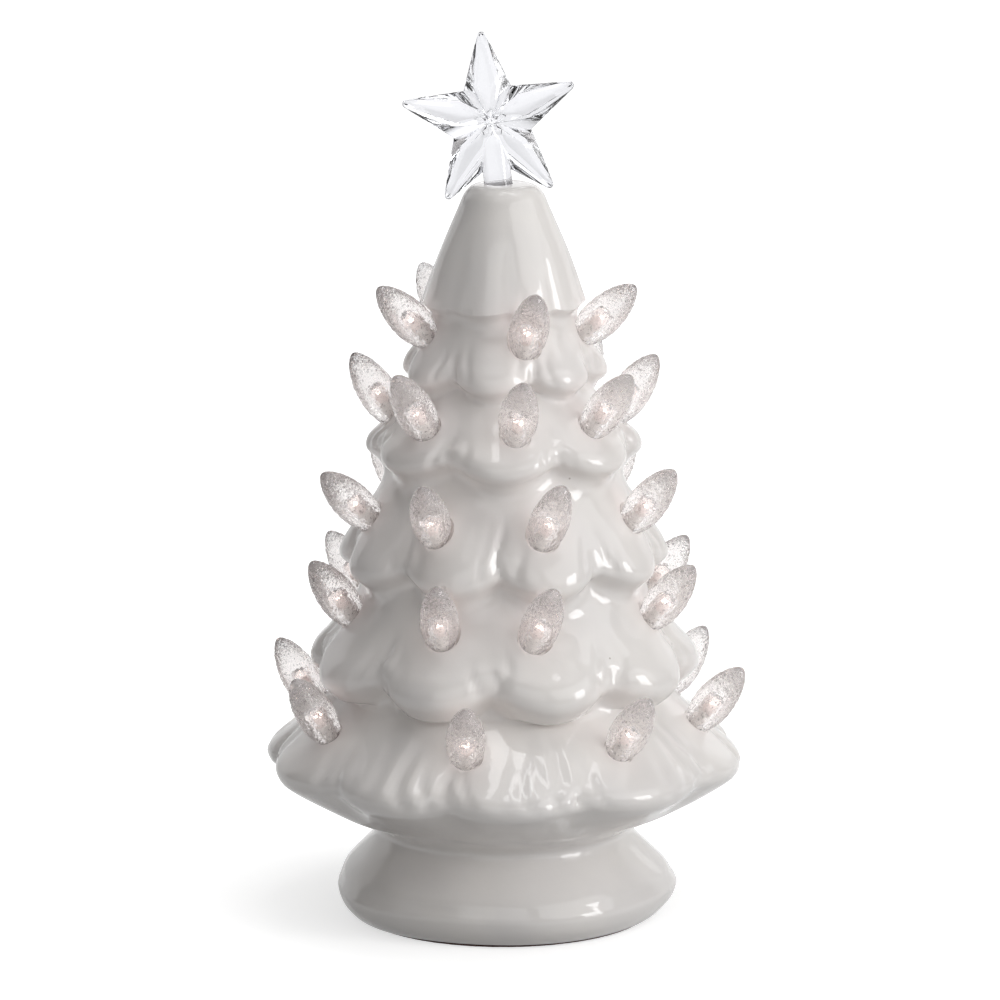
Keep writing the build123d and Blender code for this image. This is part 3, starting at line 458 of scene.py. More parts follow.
def casting_skin():
    """Outside of the casting as rows of points from the foot to the top, in millimetres.

    Rings of radius and height over the azimuth, joined by cubic curves, then moved along the normal by
    the needle grooves and the slow unevenness, which fade out on the foot and at the top.
    """
    azimuth = full_turn(AROUND)
    ring_radii, ring_heights = casting_rings(azimuth)
    places = spaced_places(ring_radii.mean(axis=1), ring_heights.mean(axis=1), ROW_STEP)
    radii = through_rings(ring_radii, places)
    heights = through_rings(ring_heights, places)
    points = around_axis(radii, heights, azimuth[None, :])
    count = len(ring_radii)
    ended = smooth_step(count - RELIEF_END[0], count - RELIEF_END[1], places)
    fade = smooth_step(*RELIEF_START, places) * (1 - ended)
    move = fade[:, None] * (unevenness(points) - groove_depth(places, azimuth, radii))
    return points + normals_of(points) * move[..., None]


def hollow_skin():
    """Inside of the casting as rows of points from the foot's inner edge up, in millimetres."""
    azimuth = full_turn(AROUND)
    radii, heights = HOLLOW_RINGS.T
    places = spaced_places(radii, heights, HOLLOW_ROW_STEP)
    rings = np.arange(len(radii))
    return around_axis(np.interp(places, rings, radii)[:, None], np.interp(places, rings, heights)[:, None],
                       azimuth[None, :])


def turned_mesh(rings, columns):
    """A closed solid of revolution: rings of (radius, height) from axis to axis, carried round it."""
    turns = full_turn(columns)
    grid = around_axis(rings[1:-1, 0][:, None], rings[1:-1, 1][:, None], turns[None, :])
    poles = np.array([(0, 0, rings[0, 1]), (0, 0, rings[-1, 1])])
    return np.concatenate([grid.reshape(-1, 3), poles]), round_faces(len(rings) - 2, columns, True, True)


def domed_rings(radius, bottom, top):
    """Rings of a bar about the axis, flat at its bottom and with a half ball on its top."""
    dome = np.radians(DOME_TURNS)
    return np.concatenate([[(0, bottom), (radius, bottom), (radius, top)],
                           np.stack([radius * np.sin(dome), top + radius * np.cos(dome)], axis=1),
                           [(0, top + radius)]])


class Bulb:
    """Where one bulb sits, read from its CAD node and joint: the middle of its seat face and its axis."""

    def __init__(self, name, axis):
        self.name = name
        self.axis = np.asarray(axis, float)
        self.turn = frame_of(axis)
        local = vertices_of(frame["nodes"][name]) @ self.turn
        lowest = local[:, 2].min()
        end = local[local[:, 2] < lowest + PEG_END_REACH * MM]
        middle = (end[:, :2].min(axis=0) + end[:, :2].max(axis=0)) / 2
        self.seat = self.turn @ np.array((*middle, lowest + (PEG_LENGTH - SEAT_GAP) * MM))

    def place(self, points_mm):
        """Points about Z in millimetres, set on this seat in metres."""
        return self.seat + (points_mm * MM) @ self.turn.T


def find_bulbs():
    """Every bulb, from the pull joints."""
    pulls = [joint for joint in frame["joints"] if joint["child"].startswith("bulb_")]
    return [Bulb(joint["child"], joint["axis"]) for joint in pulls]


def joined_object(name, parts):
    """One object that holds several closed meshes, each given as points and faces."""
    points = []
    faces = []
    count = 0
    for part_points, part_faces in parts:
        points.append(part_points)
        faces += [[corner + count for corner in face] for face in part_faces]
        count += len(part_points)
    return finished_mesh(name, np.concatenate(points), faces)


def combine(piece, other, operation):
    """Joins another closed solid to the piece or takes it away, and removes the other."""
    tool = piece.modifiers.new("combine", "BOOLEAN")
    tool.operation = operation
    tool.solver = "MANIFOLD"
    tool.object = other
    bpy.context.view_layer.update()
    whole = piece.evaluated_get(bpy.context.evaluated_depsgraph_get())
    old = piece.data
    piece.data = bpy.data.meshes.new_from_object(whole)
    piece.modifiers.clear()
    bpy.data.meshes.remove(old)
    bpy.data.objects.remove(other)
    mesh = piece.data
    mesh.materials.clear()
    mesh.polygons.foreach_set("material_index", np.zeros(len(mesh.polygons), np.int32))
    mesh.polygons.foreach_set("use_smooth", np.ones(len(mesh.polygons), bool))


def on_stem(points_mm):
    """Points about the star's leaning stem in millimetres, set in place in metres."""
    lean = math.radians(STAR_LEAN)
    turn = np.array([(math.cos(lean), 0, -math.sin(lean)), (0, 1, 0), (math.sin(lean), 0, math.cos(lean))])
    return np.array(STAR_FOOT) * MM + (points_mm * MM) @ turn.T


def make_casting(bulbs):
    """The glazed casting, with its hollow, a socket for every bulb and the star's bore."""
    outside = casting_skin()
    inside = hollow_skin()
    grid = np.concatenate([outside[::-1], inside])
    poles = np.array([(0, 0, TOP_RINGS[-1][1]), (0, 0, HOLLOW_RINGS[-1][1])])
    points = np.concatenate([grid.reshape(-1, 3), poles]) * MM
    faces = [face[::-1] for face in round_faces(len(grid), AROUND, True, True)]
    casting = finished_mesh("glazed_tree", points, faces)
    socket = turned_mesh(SOCKET_RINGS, SOCKET_AROUND)
    parts = [(bulb.place(socket[0]), socket[1]) for bulb in bulbs]
    bore = turned_mesh(STAR_BORE_RINGS, SOCKET_AROUND)
    parts.append((on_stem(bore[0]), bore[1]))
    combine(casting, joined_object("sockets", parts), "DIFFERENCE")
    casting.data.set_sharp_from_angle(angle=math.radians(CASTING_SHARP))
    return casting


def egg_outline(heights):
    """Radius of the egg over its height: a quarter sine up from the seat, then a blunt cosine to the tip."""
    swell = np.sin(np.pi / 2 * np.clip(heights / EGG_WIDEST, 0, 1))
    low = SEAT_RADIUS + (EGG_RADIUS - SEAT_RADIUS) * swell
    share = np.clip((heights - EGG_WIDEST) / (EGG_LENGTH - EGG_WIDEST), 0, 1)
    high = EGG_RADIUS * np.maximum(np.cos(np.pi / 2 * share), 0) ** EGG_BLUNTNESS
    return np.where(heights < EGG_WIDEST, low, high)


def bulb_surface():
    """Points and faces of one bulb, from the top of its bore down, round its peg and up the egg to the tip.

    The egg is pressed in by a net of facets near the seat and by finer random dimples towards the tip.
    """
    draw = np.random.default_rng(SEED + 1)
    turns = full_turn(BULB_AROUND)
    dome = np.radians(BORE_DOME)
    bore_r = np.concatenate([BORE_RADIUS * np.sin(dome), [BORE_RADIUS, BORE_RADIUS]])
    bore_z = np.concatenate([BORE_DEPTH + BORE_RADIUS * np.cos(dome), [BORE_DEPTH / 2, -PEG_LENGTH]])
    peg_r = np.array([PEG_RADIUS - PEG_ROUNDING, PEG_RADIUS, PEG_RADIUS, SEAT_RADIUS - SEAT_EDGE])
    peg_z = np.array([-PEG_LENGTH, PEG_ROUNDING - PEG_LENGTH, 0.0, 0.0])
    rise = np.linspace(0, 1, BULB_ROWS + 1)[:-1]
    egg_z = EGG_LENGTH * np.sin(np.pi / 2 * rise ** BULB_ROW_SPREAD)
    points = around_axis(np.concatenate([bore_r, peg_r, egg_outline(egg_z)])[:, None],
                         np.concatenate([bore_z, peg_z, egg_z])[:, None], turns[None, :])
    egg = points[-BULB_ROWS:]
    order = np.arange(DIMPLES) + 0.5
    seed_z = EGG_LENGTH * (1 - (1 - order / DIMPLES) ** DIMPLE_SPREAD)
    seed_turn = DIMPLE_TURN * order + draw.uniform(-DIMPLE_JITTER, DIMPLE_JITTER, DIMPLES)
    seeds = around_axis(egg_outline(seed_z), seed_z, seed_turn)
    gaps = np.linalg.norm(egg[:, :, None, :] - seeds[None, None, :, :], axis=-1)
    nearest = np.sort(gaps, axis=-1)[..., :2]
    below = smooth_step(EGG_LENGTH - DIMPLE_END[0], EGG_LENGTH - DIMPLE_END[1], egg_z)
    fade = smooth_step(*DIMPLE_START, egg_z) * (1 - below)
    seam = SEAM_HEIGHT * np.exp(-((nearest[..., 1] - nearest[..., 0]) / SEAM_WIDTH) ** 2)
    dimple = DIMPLE_DEPTH * np.exp(-(nearest[..., 0] / DIMPLE_RADIUS) ** 2) - seam
    net_fade = smooth_step(*NET_START, egg_z) * (1 - smooth_step(*NET_END, egg_z))
    angle = NET_COUNT * np.radians(turns)[None, :]
    spiral = NET_RISE * egg_z[:, None]
    net = np.abs(np.sin(angle + spiral)) * np.abs(np.sin(angle - spiral))
    press = fade[:, None] * (1 - net_fade[:, None]) * dimple + net_fade[:, None] * NET_DEPTH * (net - 0.5)
    points[-BULB_ROWS:] = egg - normals_of(egg) * press[..., None]
    points[..., 2] += SEAT_GAP
    poles = np.array([(0, 0, BORE_DEPTH + BORE_RADIUS + SEAT_GAP), (0, 0, EGG_LENGTH + SEAT_GAP)])
    return np.concatenate([points.reshape(-1, 3), poles]), round_faces(len(points), BULB_AROUND, True, True)


def make_bulbs(bulbs, material):
    """Every clear bulb, turned about its own axis by a different angle.

    The bore's wall gets a painted glow of exp(-(d / reach)^2) around the lamp's tip, and the egg's skin a far
    weaker painted glow.
    """
    draw = np.random.default_rng(SEED + 2)
    points, faces = bulb_surface()
    away = np.linalg.norm(points - (0, 0, LAMP_TOP), axis=1)
    glow = np.exp(-(away / HALO_REACH) ** 2)
    skin = slice(BORE_ROWS * BULB_AROUND, -2)
    glow[skin] = VEIL_LEVEL * np.exp(-(away[skin] / VEIL_REACH) ** 2)
    glow[-1] = 0
    for bulb in bulbs:
        spin = math.radians(draw.uniform(0, 360))
        across = (math.cos(spin), -math.sin(spin), 0)
        along = (math.sin(spin), math.cos(spin), 0)
        turn = np.array([across, along, (0, 0, 1)])
        piece = finished_mesh(f"clear_{bulb.name}", bulb.place(points @ turn.T), faces, BULB_SHARP)
        piece.data.materials.append(material)
        add_values(piece, "glow", glow)
        add_values(piece, "rise", np.clip(points[:, 2] / EGG_LENGTH, 0, 1))
        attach(piece, bulb.name)
        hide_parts(bulb.name)


def make_lamps(bulbs, material):
    """The lamps on their posts: short cylinders with round tops, one object."""
    lamp = turned_mesh(domed_rings(LAMP_RADIUS, LAMP_BASE, LAMP_SHOULDER), LAMP_AROUND)
    piece = joined_object("warm_lamps", [(bulb.place(lamp[0]), lamp[1]) for bulb in bulbs])
    piece.data.materials.append(material)
    glow = np.exp(-(np.linalg.norm(lamp[0] - (0, 0, LAMP_TOP), axis=1) / LAMP_CORE) ** 2)
    add_values(piece, "glow", np.tile(np.maximum(glow, LAMP_EMBER), len(bulbs)))
    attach(piece, "tree")
    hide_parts("light_lamps")


def star_half_arm():
    """One half arm of the star's front: places across the star's plane, and heights over it.

    Rows run from the valley's line out to the tip, columns from the ridge over the raised blade, down its
    step and the bevel to the rim, which bulges out by a quarter ellipse to the outline. The outline is a
    line from the valley that touches the tip's circle.
    """
    fold = math.pi / STAR_POINTS
    inward = np.array((math.sin(fold), math.cos(fold)))
    valley = STAR_VALLEY_RADIUS * inward
    middle = np.array((0.0, STAR_TIP_RADIUS - STAR_TIP_ROUNDING))
    gap = valley - middle
    touch = math.atan2(gap[1], gap[0]) + math.acos(STAR_TIP_ROUNDING / np.linalg.norm(gap))
    turn = np.linspace(touch, math.pi / 2, STAR_TIP_ROWS)
    round_out = np.stack([np.cos(turn), np.sin(turn)], axis=1)
    round_out[-1, 0] = 0
    arc = middle + STAR_TIP_ROUNDING * round_out
    share = np.linspace(0, 1, STAR_ARM_ROWS)[:-1]
    outline = np.concatenate([valley + share[:, None] * (arc[0] - valley), arc])
    out = np.concatenate([np.tile(round_out[0], (len(share), 1)), round_out])
    out[0] = inward / (inward @ round_out[0])
    edge = outline - STAR_BULGE * out
    bend = np.concatenate([0 * share, (turn - touch) / (math.pi / 2 - touch)])
    along = np.concatenate([share * middle[1],
                            middle[1] + (STAR_TIP_ROUNDING - STAR_BULGE) * bend[len(share):]])
    width = np.minimum(BLADE_START + BLADE_FLARE * along, BLADE_SHARE * edge[:, 0])
    foot = width + np.minimum(BLADE_STEP, BLADE_STEP_SHARE * edge[:, 0])
    across = np.stack([0 * width, width / 2, width, foot, edge[:, 0]], axis=1)
    slide = across / np.maximum(edge[:, :1], 1e-9)
    reach = along[:, None] + slide * (edge[:, 1] - along)[:, None]
    rim = STAR_RIM / 2
    ridge = np.interp(along, (0, STAR_TIP_RADIUS), (STAR_CROWN - rim, STAR_TIP_CROWN - rim))
    crown = ridge * np.sqrt(1 - bend ** 2)
    shoulder = (1 - BLADE_DROP) * crown
    bevel = BEVEL_START * shoulder
    level = rim + np.stack([crown, (crown + shoulder) / 2, shoulder, bevel, 0 * crown], axis=1)
    bulge = edge[:, None, :] + STAR_BULGE * np.sin(RIM_TURNS)[:, None] * out[:, None, :]
    rounded = np.broadcast_to(rim * np.cos(RIM_TURNS), bulge.shape[:2])
    return (np.concatenate([across, bulge[..., 0]], axis=1), np.concatenate([reach, bulge[..., 1]], axis=1),
            np.concatenate([level, rounded], axis=1))


def make_star(material):
    """Clear star: a raised blade along every arm, bevels down to a round rim, and the bored stem."""
    across, reach, level = star_half_arm()
    rows, columns = level.shape
    quad = grid_quads(rows, columns, False, False)
    points = []
    faces = []
    count = 0
    for arm in range(STAR_POINTS):
        turn = 2 * math.pi * arm / STAR_POINTS
        for side in (-1, 1):
            x = side * across * math.cos(turn) + reach * math.sin(turn)
            z = -side * across * math.sin(turn) + reach * math.cos(turn)
            for face in (-1, 1):
                points.append(np.stack([x, face * level, z + STAR_RISE], axis=-1).reshape(-1, 3))
                faces += (quad + count).tolist()
                count += rows * columns
    star = finished_mesh("clear_star", on_stem(np.concatenate(points)), faces)
    tidy_up(star)
    combine(star, stem_solid("stem", STEM_RADIUS, -STEM_DEPTH, STEM_TOP), "UNION")
    combine(star, stem_solid("stem_bore", STEM_BORE, -STEM_DEPTH - STEM_OVERRUN, STEM_BORE_TOP), "DIFFERENCE")
    star.data.set_sharp_from_angle(angle=math.radians(STAR_SHARP))
    star.data.materials.append(material)
    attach(star, "star")
    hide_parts("star_topper")


def stem_solid(name, radius, bottom, top):
    """A round-topped bar along the star's stem."""
    points, faces = turned_mesh(domed_rings(radius, bottom, top), STEM_AROUND)
    return finished_mesh(name, on_stem(points), faces)


def tidy_up(piece):
    """Merges the doubles of a closed mesh and turns its faces outwards."""
    shape = bmesh.new()
    shape.from_mesh(piece.data)
    bmesh.ops.remove_doubles(shape, verts=shape.verts, dist=MERGE_REACH * MM)
    bmesh.ops.recalc_face_normals(shape, faces=shape.faces)
    shape.to_mesh(piece.data)
    shape.free()


def shader(name):
    """A new material with its Principled shader."""
    material = bpy.data.materials.new(name)
    material.use_nodes = True
    tree = material.node_tree
    return material, tree, tree.nodes["Principled BSDF"]


def feed(tree, node, inputs):
    """Feeds a node's inputs, by name or number: a socket is linked, and a plain value is set."""
    for name, value in inputs.items():
        if isinstance(value, bpy.types.NodeSocket):
            tree.links.new(value, node.inputs[name])
        else:
            node.inputs[name].default_value = value


def add_node(tree, kind, inputs=None, **settings):
    """A new shader node with its settings made and its inputs fed."""
    node = tree.nodes.new(kind)
    for name, value in settings.items():
        setattr(node, name, value)
    feed(tree, node, inputs or {})
    return node


def new_group(name, inputs, outputs):
    """An empty shader node group with named sockets, its input node and its output node."""
    group = bpy.data.node_groups.new(name, "ShaderNodeTree")
    for label, kind, value in inputs:
        socket = group.interface.new_socket(label, in_out="INPUT", socket_type=kind)
        socket.default_value = value
    for label, kind in outputs:
        group.interface.new_socket(label, in_out="OUTPUT", socket_type=kind)
    return group, group.nodes.new("NodeGroupInput"), group.nodes.new("NodeGroupOutput")


def mixed_colors(tree, share, first, second):
    """The colour socket of a mix of two colours, each a socket or a plain colour."""
    node = add_node(tree, "ShaderNodeMix", {"Factor": share}, data_type="RGBA")
    numbers = [number for number, socket in enumerate(node.inputs) if socket.type == "RGBA"]
    feed(tree, node, dict(zip(numbers, (first, second))))
    return [socket for socket in node.outputs if socket.type == "RGBA"][0]


def mask_of(tree, value, low, high):
    """A value turned into a mask that is 0 at low and 1 at high."""
    mask = add_node(tree, "ShaderNodeMapRange", {"Value": value, "From Min": low, "From Max": high})
    return mask.outputs["Result"]


def range_of(tree, value, start, end, first, last):
    """A value that runs smoothly from first to last while the given one runs from start to end."""
    inputs = {"Value": value, "From Min": start, "From Max": end, "To Min": first, "To Max": last}
    node = add_node(tree, "ShaderNodeMapRange", inputs, interpolation_type="SMOOTHSTEP")
    return node.outputs["Result"]


def math_of(tree, operation, first, second):
    """What an operation makes of two values, each a socket or a plain number."""
    node = add_node(tree, "ShaderNodeMath", {0: first, 1: second}, operation=operation)
    return node.outputs["Value"]


def noise_of(tree, scale, detail, roughness):
    """Soft noise over a piece."""
    where = add_node(tree, "ShaderNodeTexCoord")
    noise = add_node(tree, "ShaderNodeTexNoise", {"Vector": where.outputs["Object"], "Scale": scale,
                                                  "Detail": detail, "Roughness": roughness})
    return noise.outputs["Fac"]


def cells_of(tree, scale):
    """Distance from the middle of the nearest of many random cells over a piece."""
    where = add_node(tree, "ShaderNodeTexCoord")
    cells = add_node(tree, "ShaderNodeTexVoronoi", {"Vector": where.outputs["Object"], "Scale": scale})
    return cells.outputs["Distance"]


def clouds_group():
    """Slow clouds over a surface: two colours and two roughnesses mixed by a soft noise."""
    group, given, out = new_group("soft_clouds", [
        ("Scale", "NodeSocketFloat", 30.0), ("First Color", "NodeSocketColor", WHITE),
        ("Second Color", "NodeSocketColor", (0.8, 0.8, 0.8, 1)),
        ("First Roughness", "NodeSocketFloat", 0.1), ("Second Roughness", "NodeSocketFloat", 0.2),
    ], [("Color", "NodeSocketColor"), ("Roughness", "NodeSocketFloat")])
    mask = mask_of(group, noise_of(group, given.outputs["Scale"], 3.0, 0.55), 0.35, 0.65)
    color = mixed_colors(group, mask, given.outputs["First Color"], given.outputs["Second Color"])
    inputs = {"Factor": mask, "A": given.outputs["First Roughness"], "B": given.outputs["Second Roughness"]}
    rough = add_node(group, "ShaderNodeMix", inputs, data_type="FLOAT")
    feed(group, out, {"Color": color, "Roughness": rough.outputs["Result"]})
    return group


def grain_group():
    """Fine grain as a normal: a noise raised by a bump."""
    group, given, out = new_group("fine_grain", [
        ("Scale", "NodeSocketFloat", 800.0), ("Height", "NodeSocketFloat", 0.0001),
        ("Strength", "NodeSocketFloat", 0.5),
    ], [("Normal", "NodeSocketVector")])
    noise = noise_of(group, given.outputs["Scale"], 4.0, 0.6)
    bump = add_node(group, "ShaderNodeBump", {"Height": noise, "Distance": given.outputs["Height"],
                                              "Strength": given.outputs["Strength"]})
    feed(group, out, {"Normal": bump.outputs["Normal"]})
    return group


def glow_group():
    """Light of the lamps on a surface: the piece's own glow attribute times a colour. On the glaze and the bulbs'
    plastic this is painted light; on the lamps it is their own.
    """
    group, given, out = new_group("lamp_glow", [("Color", "NodeSocketColor", (1, 0.7, 0.62, 1))],
                                  [("Glow", "NodeSocketColor")])
    share = add_node(group, "ShaderNodeAttribute", attribute_name="glow")
    tint = mixed_colors(group, share.outputs["Fac"], (0, 0, 0, 1), given.outputs["Color"])
    feed(group, out, {"Glow": tint})
    return group


def place_group(tree, group, **values):
    """The group as a node in a material, with this material's own values."""
    inputs = {name.replace("_", " ").title(): value for name, value in values.items()}
    return add_node(tree, "ShaderNodeGroup", inputs, node_tree=group)


def glaze_material():
    """Glossy white glaze in slow clouds, with a few pinholes, and the lamps' light painted on it as a pink glow.
    """
    material, tree, bsdf = shader("white_glaze")
    clouds = place_group(tree, CLOUDS, scale=38.0,
                         first_color=(0.852, 0.822, 0.793, 1), first_roughness=0.012,
                         second_color=(0.808, 0.781, 0.763, 1), second_roughness=0.035)
    grain = place_group(tree, GRAIN, scale=95.0, height=0.0006, strength=0.16)
    # Painted pink glow of the lamps on the glaze
    glow = place_group(tree, GLOW, color=(1.0, 0.55, 0.5, 1))
    pits = mask_of(tree, cells_of(tree, 80.0), 0.03, 0.012)
    feed(tree, bsdf, {
        "Base Color": mixed_colors(tree, pits, clouds.outputs["Color"], (0.5, 0.45, 0.41, 1)),
        "Roughness": clouds.outputs["Roughness"],
        "Normal": grain.outputs["Normal"],
        "Emission Color": glow.outputs["Glow"],
        "Emission Strength": 1.0,
        "IOR": 1.52,
    })
    return material


def let_lamps_through(tree, bsdf, tint):
    """Lets the lamps' rays pass a clear shader, so that what lies behind it is lit."""
    path = add_node(tree, "ShaderNodeLightPath")
    through = add_node(tree, "ShaderNodeBsdfTransparent", {"Color": tint})
    mix = add_node(tree, "ShaderNodeMixShader", {0: path.outputs["Is Shadow Ray"], 1: bsdf.outputs["BSDF"],
                                                 2: through.outputs["BSDF"]})
    feed(tree, tree.nodes["Material Output"], {"Surface": mix.outputs["Shader"]})


def bulb_material():
    """Clear moulded plastic with painted specks for its facets, white painted glints and dark painted reflections
    that are darkest round the seat, greyer at the tip, lit from inside by its lamp with a painted glow round it.
    """
    material, tree, bsdf = shader("clear_bulb_plastic")
    rise = add_node(tree, "ShaderNodeAttribute", attribute_name="rise")
    # Specks painted into the colour for the facets: dark painted reflections and white painted glints
    facet_glint_noise = noise_of(tree, 1500.0, 2.0, 0.6)
    painted_dark_reflection = mask_of(tree, facet_glint_noise, 0.6, 0.68)
    painted_glint = mask_of(tree, facet_glint_noise, 0.45, 0.36)
    tip = mask_of(tree, rise.outputs["Fac"], 0.8, 0.97)
    # The dark painted reflections are darkest round the seat, as painted shade there
    above = mask_of(tree, rise.outputs["Fac"], 0.1, 0.3)
    body = mixed_colors(tree, tip, (1.0, 0.975, 0.968, 1), (0.84, 0.835, 0.845, 1))
    dark_reflection_color = mixed_colors(tree, above, (0.16, 0.15, 0.15, 1), (0.32, 0.3, 0.305, 1))
    with_dark_reflections = mixed_colors(tree, painted_dark_reflection, body, dark_reflection_color)
    bumps = add_node(tree, "ShaderNodeBump", {"Height": cells_of(tree, 1500.0), "Strength": 0.3,
                                              "Distance": 0.0004})
    # Painted glow of the lamp on the clear plastic
    glow = place_group(tree, GLOW, color=(1.0, 0.66, 0.6, 1))
    feed(tree, bsdf, {
        "Base Color": mixed_colors(tree, painted_glint, with_dark_reflections, (1.0, 0.99, 0.985, 1)),
        "Normal": bumps.outputs["Normal"],
        "Emission Color": glow.outputs["Glow"],
        "Emission Strength": 0.35,
        "Roughness": 0.03,
        "Transmission Weight": 0.84,
        "IOR": 1.46,
    })
    let_lamps_through(tree, bsdf, (0.9, 0.88, 0.88, 1))
    return material


def acrylic_material():
    """Clear polished acrylic of the star."""
    material, tree, bsdf = shader("clear_acrylic")
    feed(tree, bsdf, {"Base Color": (0.88, 0.885, 0.915, 1), "Roughness": 0.0, "Transmission Weight": 1.0,
                      "IOR": 1.49})
    let_lamps_through(tree, bsdf, (0.92, 0.92, 0.93, 1))
    return material


def lamp_material():
    """Warm white lamp, brightest at its tip."""
    material, tree, bsdf = shader("warm_lamp")
    glow = place_group(tree, GLOW, color=(1.0, 0.8, 0.7, 1))
    feed(tree, bsdf, {"Base Color": (0.75, 0.69, 0.67, 1), "Roughness": 0.25,
                      "Emission Color": glow.outputs["Glow"], "Emission Strength": 40.0})
    return material


def clouded(name, scale, first, second, roughness, spread):
    """A new material in clouds of two colours, of which the second is rougher by a spread."""
    material, tree, bsdf = shader(name)
    clouds = place_group(tree, CLOUDS, scale=scale, first_color=(*first, 1), second_color=(*second, 1),
                         first_roughness=roughness, second_roughness=roughness + spread)
    feed(tree, bsdf, {"Base Color": clouds.outputs["Color"], "Roughness": clouds.outputs["Roughness"]})
    return material, tree, bsdf


def plastic_material(name, first, second, roughness, grain_scale, grain_height):
    """Moulded plastic, rubber or resin with a fine grain and slight clouds."""
    material, tree, bsdf = clouded(name, 90.0, first, second, roughness, 0.12)
    grain = place_group(tree, GRAIN, scale=grain_scale, height=grain_height, strength=0.6)
    feed(tree, bsdf, {"Normal": grain.outputs["Normal"]})
    return material


def metal_material(name, first, second, roughness):
    """Plated metal with fine handling marks."""
    material, tree, bsdf = clouded(name, 300.0, first, second, roughness, 0.15)
    feed(tree, bsdf, {"Metallic": 1.0})
    return material


def felt_material():
    """Dark brown felt: tangled fibres in two browns with a soft sheen."""
    material, tree, bsdf = clouded("brown_felt", 1400.0, (0.12, 0.045, 0.035), (0.07, 0.026, 0.02), 0.9, 0.1)
    grain = place_group(tree, GRAIN, scale=3000.0, height=0.0005, strength=0.9)
    feed(tree, bsdf, {"Normal": grain.outputs["Normal"], "Sheen Weight": 0.3})
    return material


def soft_ring(name, node, material, trim, fuzz):
    """A soft ring in a CAD ring's place: a rounded oblong carried round the axis, uneven by random fuzz.

    The oblong is |2 u / width|^5 + |2 v / height|^5 = 1, from sin and cos raised to the power 0.4.
    """
    draw = np.random.default_rng(SEED + 3)
    places = vertices_of(frame["nodes"][node]) / MM
    radius = np.hypot(places[:, 0], places[:, 1])
    inner = radius.min()
    outer = radius.max() - trim
    low = places[:, 2].min()
    high = places[:, 2].max()
    turn = 2 * np.pi * np.arange(RING_SECTION) / RING_SECTION
    side = np.sign(np.cos(turn)) * np.abs(np.cos(turn)) ** OBLONG_POWER
    rise = np.sign(np.sin(turn)) * np.abs(np.sin(turn)) ** OBLONG_POWER
    rough = fuzz * draw.uniform(-1, 1, (RING_SECTION, RING_AROUND))
    radii = ((inner + outer) / 2 + (outer - inner) / 2 * side)[:, None] + rough * np.cos(turn)[:, None]
    sunk = np.abs(rough) * np.sign(np.sin(turn))[:, None]
    heights = ((low + high) / 2 + (high - low) / 2 * rise)[:, None] - sunk
    points = around_axis(radii, heights, full_turn(RING_AROUND)[None, :]).reshape(-1, 3) * MM
    ring = finished_mesh(name, points, round_faces(RING_SECTION, RING_AROUND, loop=True))
    tidy_up(ring)
    ring.data.materials.append(material)
    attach(ring, "tree")
    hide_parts(node)


def finish_nodes(finishes):
    """Gives every CAD node that still shows the material of its slot."""
    for part in frame["record"]["subparts"]:
        if part["material_slot"] in finishes:
            for place in frame["nodes"][part["node"]].material_slots:
                place.material = finishes[part["material_slot"]]


def add_values(piece, name, values):
    """Stores a value for each vertex of a piece, for its material to read."""
    layer = piece.data.attributes.new(name, "FLOAT", "POINT")
    layer.data.foreach_set("value", np.ascontiguousarray(values, np.float32))


def vertices_of(piece):
    """Places of a piece's vertices as rows."""
    places = np.empty(len(piece.data.vertices) * 3)
    piece.data.vertices.foreach_get("co", places)
    return places.reshape(-1, 3)


def lamp_spill(places, bulbs):
    """Painted light of every lamp at each place, for the glaze's pink glow: a sum of 1 / (1 + (d / d0)^2)^2 over
    the lamps' distances d.
    """
    lamps = np.array([bulb.seat + bulb.axis * LAMP_TOP * MM for bulb in bulbs])
    spill = np.zeros(len(places))
    for lamp in lamps:
        distance = np.linalg.norm(places - lamp, axis=1)
        spill += 1 / (1 + (distance / (SPILL_REACH * MM)) ** 2) ** 2
    return np.clip(SPILL_LEVEL * spill, 0, 1)


def add_camera():
    """The camera, aimed at the middle of the tree from the photograph's side."""
    rise = math.radians(CAMERA_ELEVATION)
    lens = bpy.data.cameras.new("camera")
    lens.lens = CAMERA_LENS
    lens.shift_x, lens.shift_y = CAMERA_SHIFT
    camera = bpy.data.objects.new("camera", lens)
    camera.location = (0, -CAMERA_DISTANCE * math.cos(rise), AIM_HEIGHT + CAMERA_DISTANCE * math.sin(rise))
    camera.rotation_euler = (math.pi / 2 - rise, 0, 0)
    bpy.context.scene.collection.objects.link(camera)
    bpy.context.scene.camera = camera


def add_lamp(name, place, aim, size, power):
    """A soft rectangular lamp that points at a place."""
    light = bpy.data.lights.new(name, "AREA")
    light.shape = "RECTANGLE"
    light.size, light.size_y = size
    light.energy = power
    lamp = bpy.data.objects.new(name, light)
    lamp.location = place
    x, y, z = np.asarray(place, float) - np.asarray(aim, float)
    lamp.rotation_euler = (math.atan2(math.hypot(x, y), z), 0, math.atan2(x, -y))
    bpy.context.scene.collection.objects.link(lamp)


